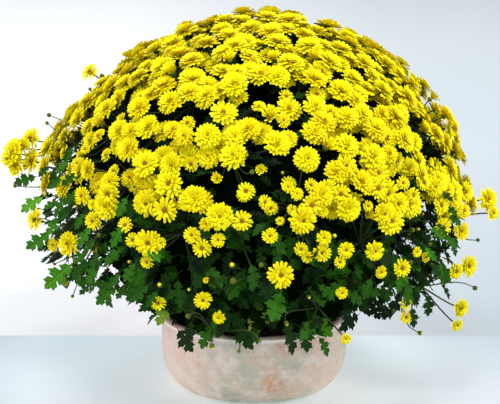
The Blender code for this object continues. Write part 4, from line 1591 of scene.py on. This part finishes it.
def make_bowl(finish):
    """The turned bowl: a rounded lip, an upright side, and a round bend in to the foot."""
    inner = BOWL_RADIUS - BOWL_WALL
    bend = BOWL_RADIUS - FOOT_RADIUS
    below = BOWL_HEIGHT - LIP_ROUND
    lip_in = arc((inner + LIP_ROUND, below), (LIP_ROUND, LIP_ROUND), 180, 90, 5)
    lip_out = arc((BOWL_RADIUS - LIP_ROUND, below), (LIP_ROUND, LIP_ROUND), 90, 0, 5)
    side = [(BOWL_RADIUS - deep, below - down) for down, deep in GROOVE] + [(BOWL_RADIUS, SIDE_FROM)]
    foot = arc((FOOT_RADIUS, BEND_RISE), (bend, BEND_RISE), 0, -90, 12)
    hollow = [(0, BOWL_FLOOR), (FOOT_RADIUS - BOWL_WALL, BOWL_FLOOR),
              (inner - BOWL_WALL, BOWL_FLOOR + BEND_RISE / 2), (inner, BOWL_FLOOR + BEND_RISE)]
    profile = hollow + lip_in + lip_out + side + foot + [(0, 0)]
    made = turned("bowl_turned", profile, 128)
    for point in made.data.vertices:
        angle = math.atan2(point.co.y, point.co.x)
        height = point.co.z
        if height > 0.001 and math.hypot(point.co.x, point.co.y) > 0.05:
            swell = ROUND_SWELL * math.sin(2 * angle + 0.7) + RING_SWELL * math.sin(height * RING_FINENESS)
            point.co.x *= 1 + swell / BOWL_RADIUS
            point.co.y *= 1 + swell / BOWL_RADIUS
    made.data.shade_smooth()
    made.data.set_sharp_from_angle(angle=math.radians(40))
    made.data.materials.append(finish)
    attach(made, "root")
    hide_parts("bowl")


def crumb_tree():
    """Crumbs of soil strewn over a surface."""
    tree = Tree("crumbs")
    shape = tree.input("Crumb", "Object")
    density = tree.input("Density", "Float")
    seed = tree.input("Seed", "Int")
    links = {"Mesh": tree.start.outputs[0], "Density": density, "Seed": seed}
    strewn = tree.node("GeometryNodeDistributePointsOnFaces", links).outputs[0]
    links = {0: (0, 0, 0), 1: CRUMB_SPIN, "Seed": seed}
    spin = tree.node("FunctionNodeRandomValue", links, data_type="FLOAT_VECTOR").outputs[0]
    placed = tree.node("GeometryNodeInstanceOnPoints", {
        "Points": strewn, "Instance": tree.shape_of(shape), "Rotation": tree.turn_from(spin),
        "Scale": tree.random(*CRUMB_RADIUS, {"Seed": seed})})
    return tree.finish(tree.join([tree.start.outputs[0], placed.outputs[0]]))


def make_soil(finish):
    """The soil that fills the bowl, with an uneven top under loose crumbs."""
    edge = BOWL_RADIUS - BOWL_WALL - SOIL_GAP
    steps = 16
    top = [(edge * i / steps, SOIL_TOP + SOIL_RISE * (1 - (i / steps) ** 2)) for i in range(steps + 1)]
    profile = top + [(edge, BOWL_FLOOR + BEND_RISE), (edge - 0.0095, BOWL_FLOOR + BEND_RISE / 2),
                     (FOOT_RADIUS - BOWL_WALL, BOWL_FLOOR + SOIL_GAP), (0, BOWL_FLOOR + SOIL_GAP)]
    base = turned("soil_base", profile, 72)
    chance = random.Random(SEED + 4)
    for point in base.data.vertices:
        radius = math.hypot(point.co.x, point.co.y)
        if point.co.z > SOIL_TOP - 0.001 and radius < edge - 0.001:
            point.co.z += chance.uniform(*SOIL_UNEVEN)
    builder = bmesh.new()
    bmesh.ops.create_icosphere(builder, subdivisions=1, radius=1)
    for point in builder.verts:
        point.co *= chance.uniform(*CRUMB_UNEVEN)
    crumb = link_object("crumb", mesh_from(builder, "crumb"))
    body = base.data
    bpy.data.objects.remove(base)
    values = {"Crumb": crumb, "Density": CRUMB_DENSITY, "Seed": 3, "Finish": finish}
    made = grown("soil_loose", body, crumb_tree(), values)
    bpy.data.objects.remove(crumb)
    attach(made, "root")
    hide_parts("soil")


# Stage

def make_stage():
    builder = bmesh.new()
    bmesh.ops.create_grid(builder, x_segments=1, y_segments=1, size=FLOOR_HALF)
    mesh = mesh_from(builder, "floor")
    mesh.transform(Matrix.Translation((0, 0, -FLOOR_BELOW)))
    floor = link_object("floor", mesh)
    floor.data.materials.append(floor_material())


def area_light(name, place, aim, size, power, colour):
    light = bpy.data.lights.new(name, "AREA")
    light.shape = "DISK"
    light.size = size
    light.energy = power
    light.color = colour
    made = bpy.data.objects.new(name, light)
    made.location = place
    made.rotation_euler = (Vector(aim) - Vector(place)).to_track_quat("-Z", "Y").to_euler()
    bpy.context.scene.collection.objects.link(made)


def make_light():
    """Soft lamps round the bush in a pale room."""
    world = bpy.data.worlds.new("soft room")
    world.use_nodes = True
    sky = world.node_tree.nodes["Background"]
    sky.inputs[0].default_value = SKY
    sky.inputs[1].default_value = SKY_STRENGTH
    bpy.context.scene.world = world
    for lamp in LAMPS:
        area_light(*lamp)
    bpy.context.scene.view_settings.view_transform = "Standard"


def make_camera():
    camera = bpy.data.cameras.new("camera")
    camera.lens = VIEW_LENS
    camera.sensor_width = VIEW_SENSOR
    camera.sensor_fit = "HORIZONTAL"
    made = bpy.data.objects.new("camera", camera)
    made.location = EYE
    made.rotation_euler = (math.pi / 2 - VIEW_RISE, 0, 0)
    bpy.context.scene.collection.objects.link(made)
    bpy.context.scene.camera = made


def build():
    make_camera()
    make_light()
    make_stage()
    patches = patches_group()
    yellow = petal_material(patches)
    green = leaf_material(patches)
    stalk = stalk_material(patches)
    make_bowl(bowl_material(patches))
    make_soil(soil_material(patches))
    crowded, filling, lone = all_flowers()
    sprays = owned_by_sprays(crowded + lone, filling)
    scatter = scatter_tree()
    make_flowers(sprays, flower_kinds(yellow), scatter, yellow)
    make_leaves(leaf_shapes(), scatter, green, shade_material(patches))
    buds = make_buds(scatter, yellow)
    make_stems(sprays, buds, stalk)


build()
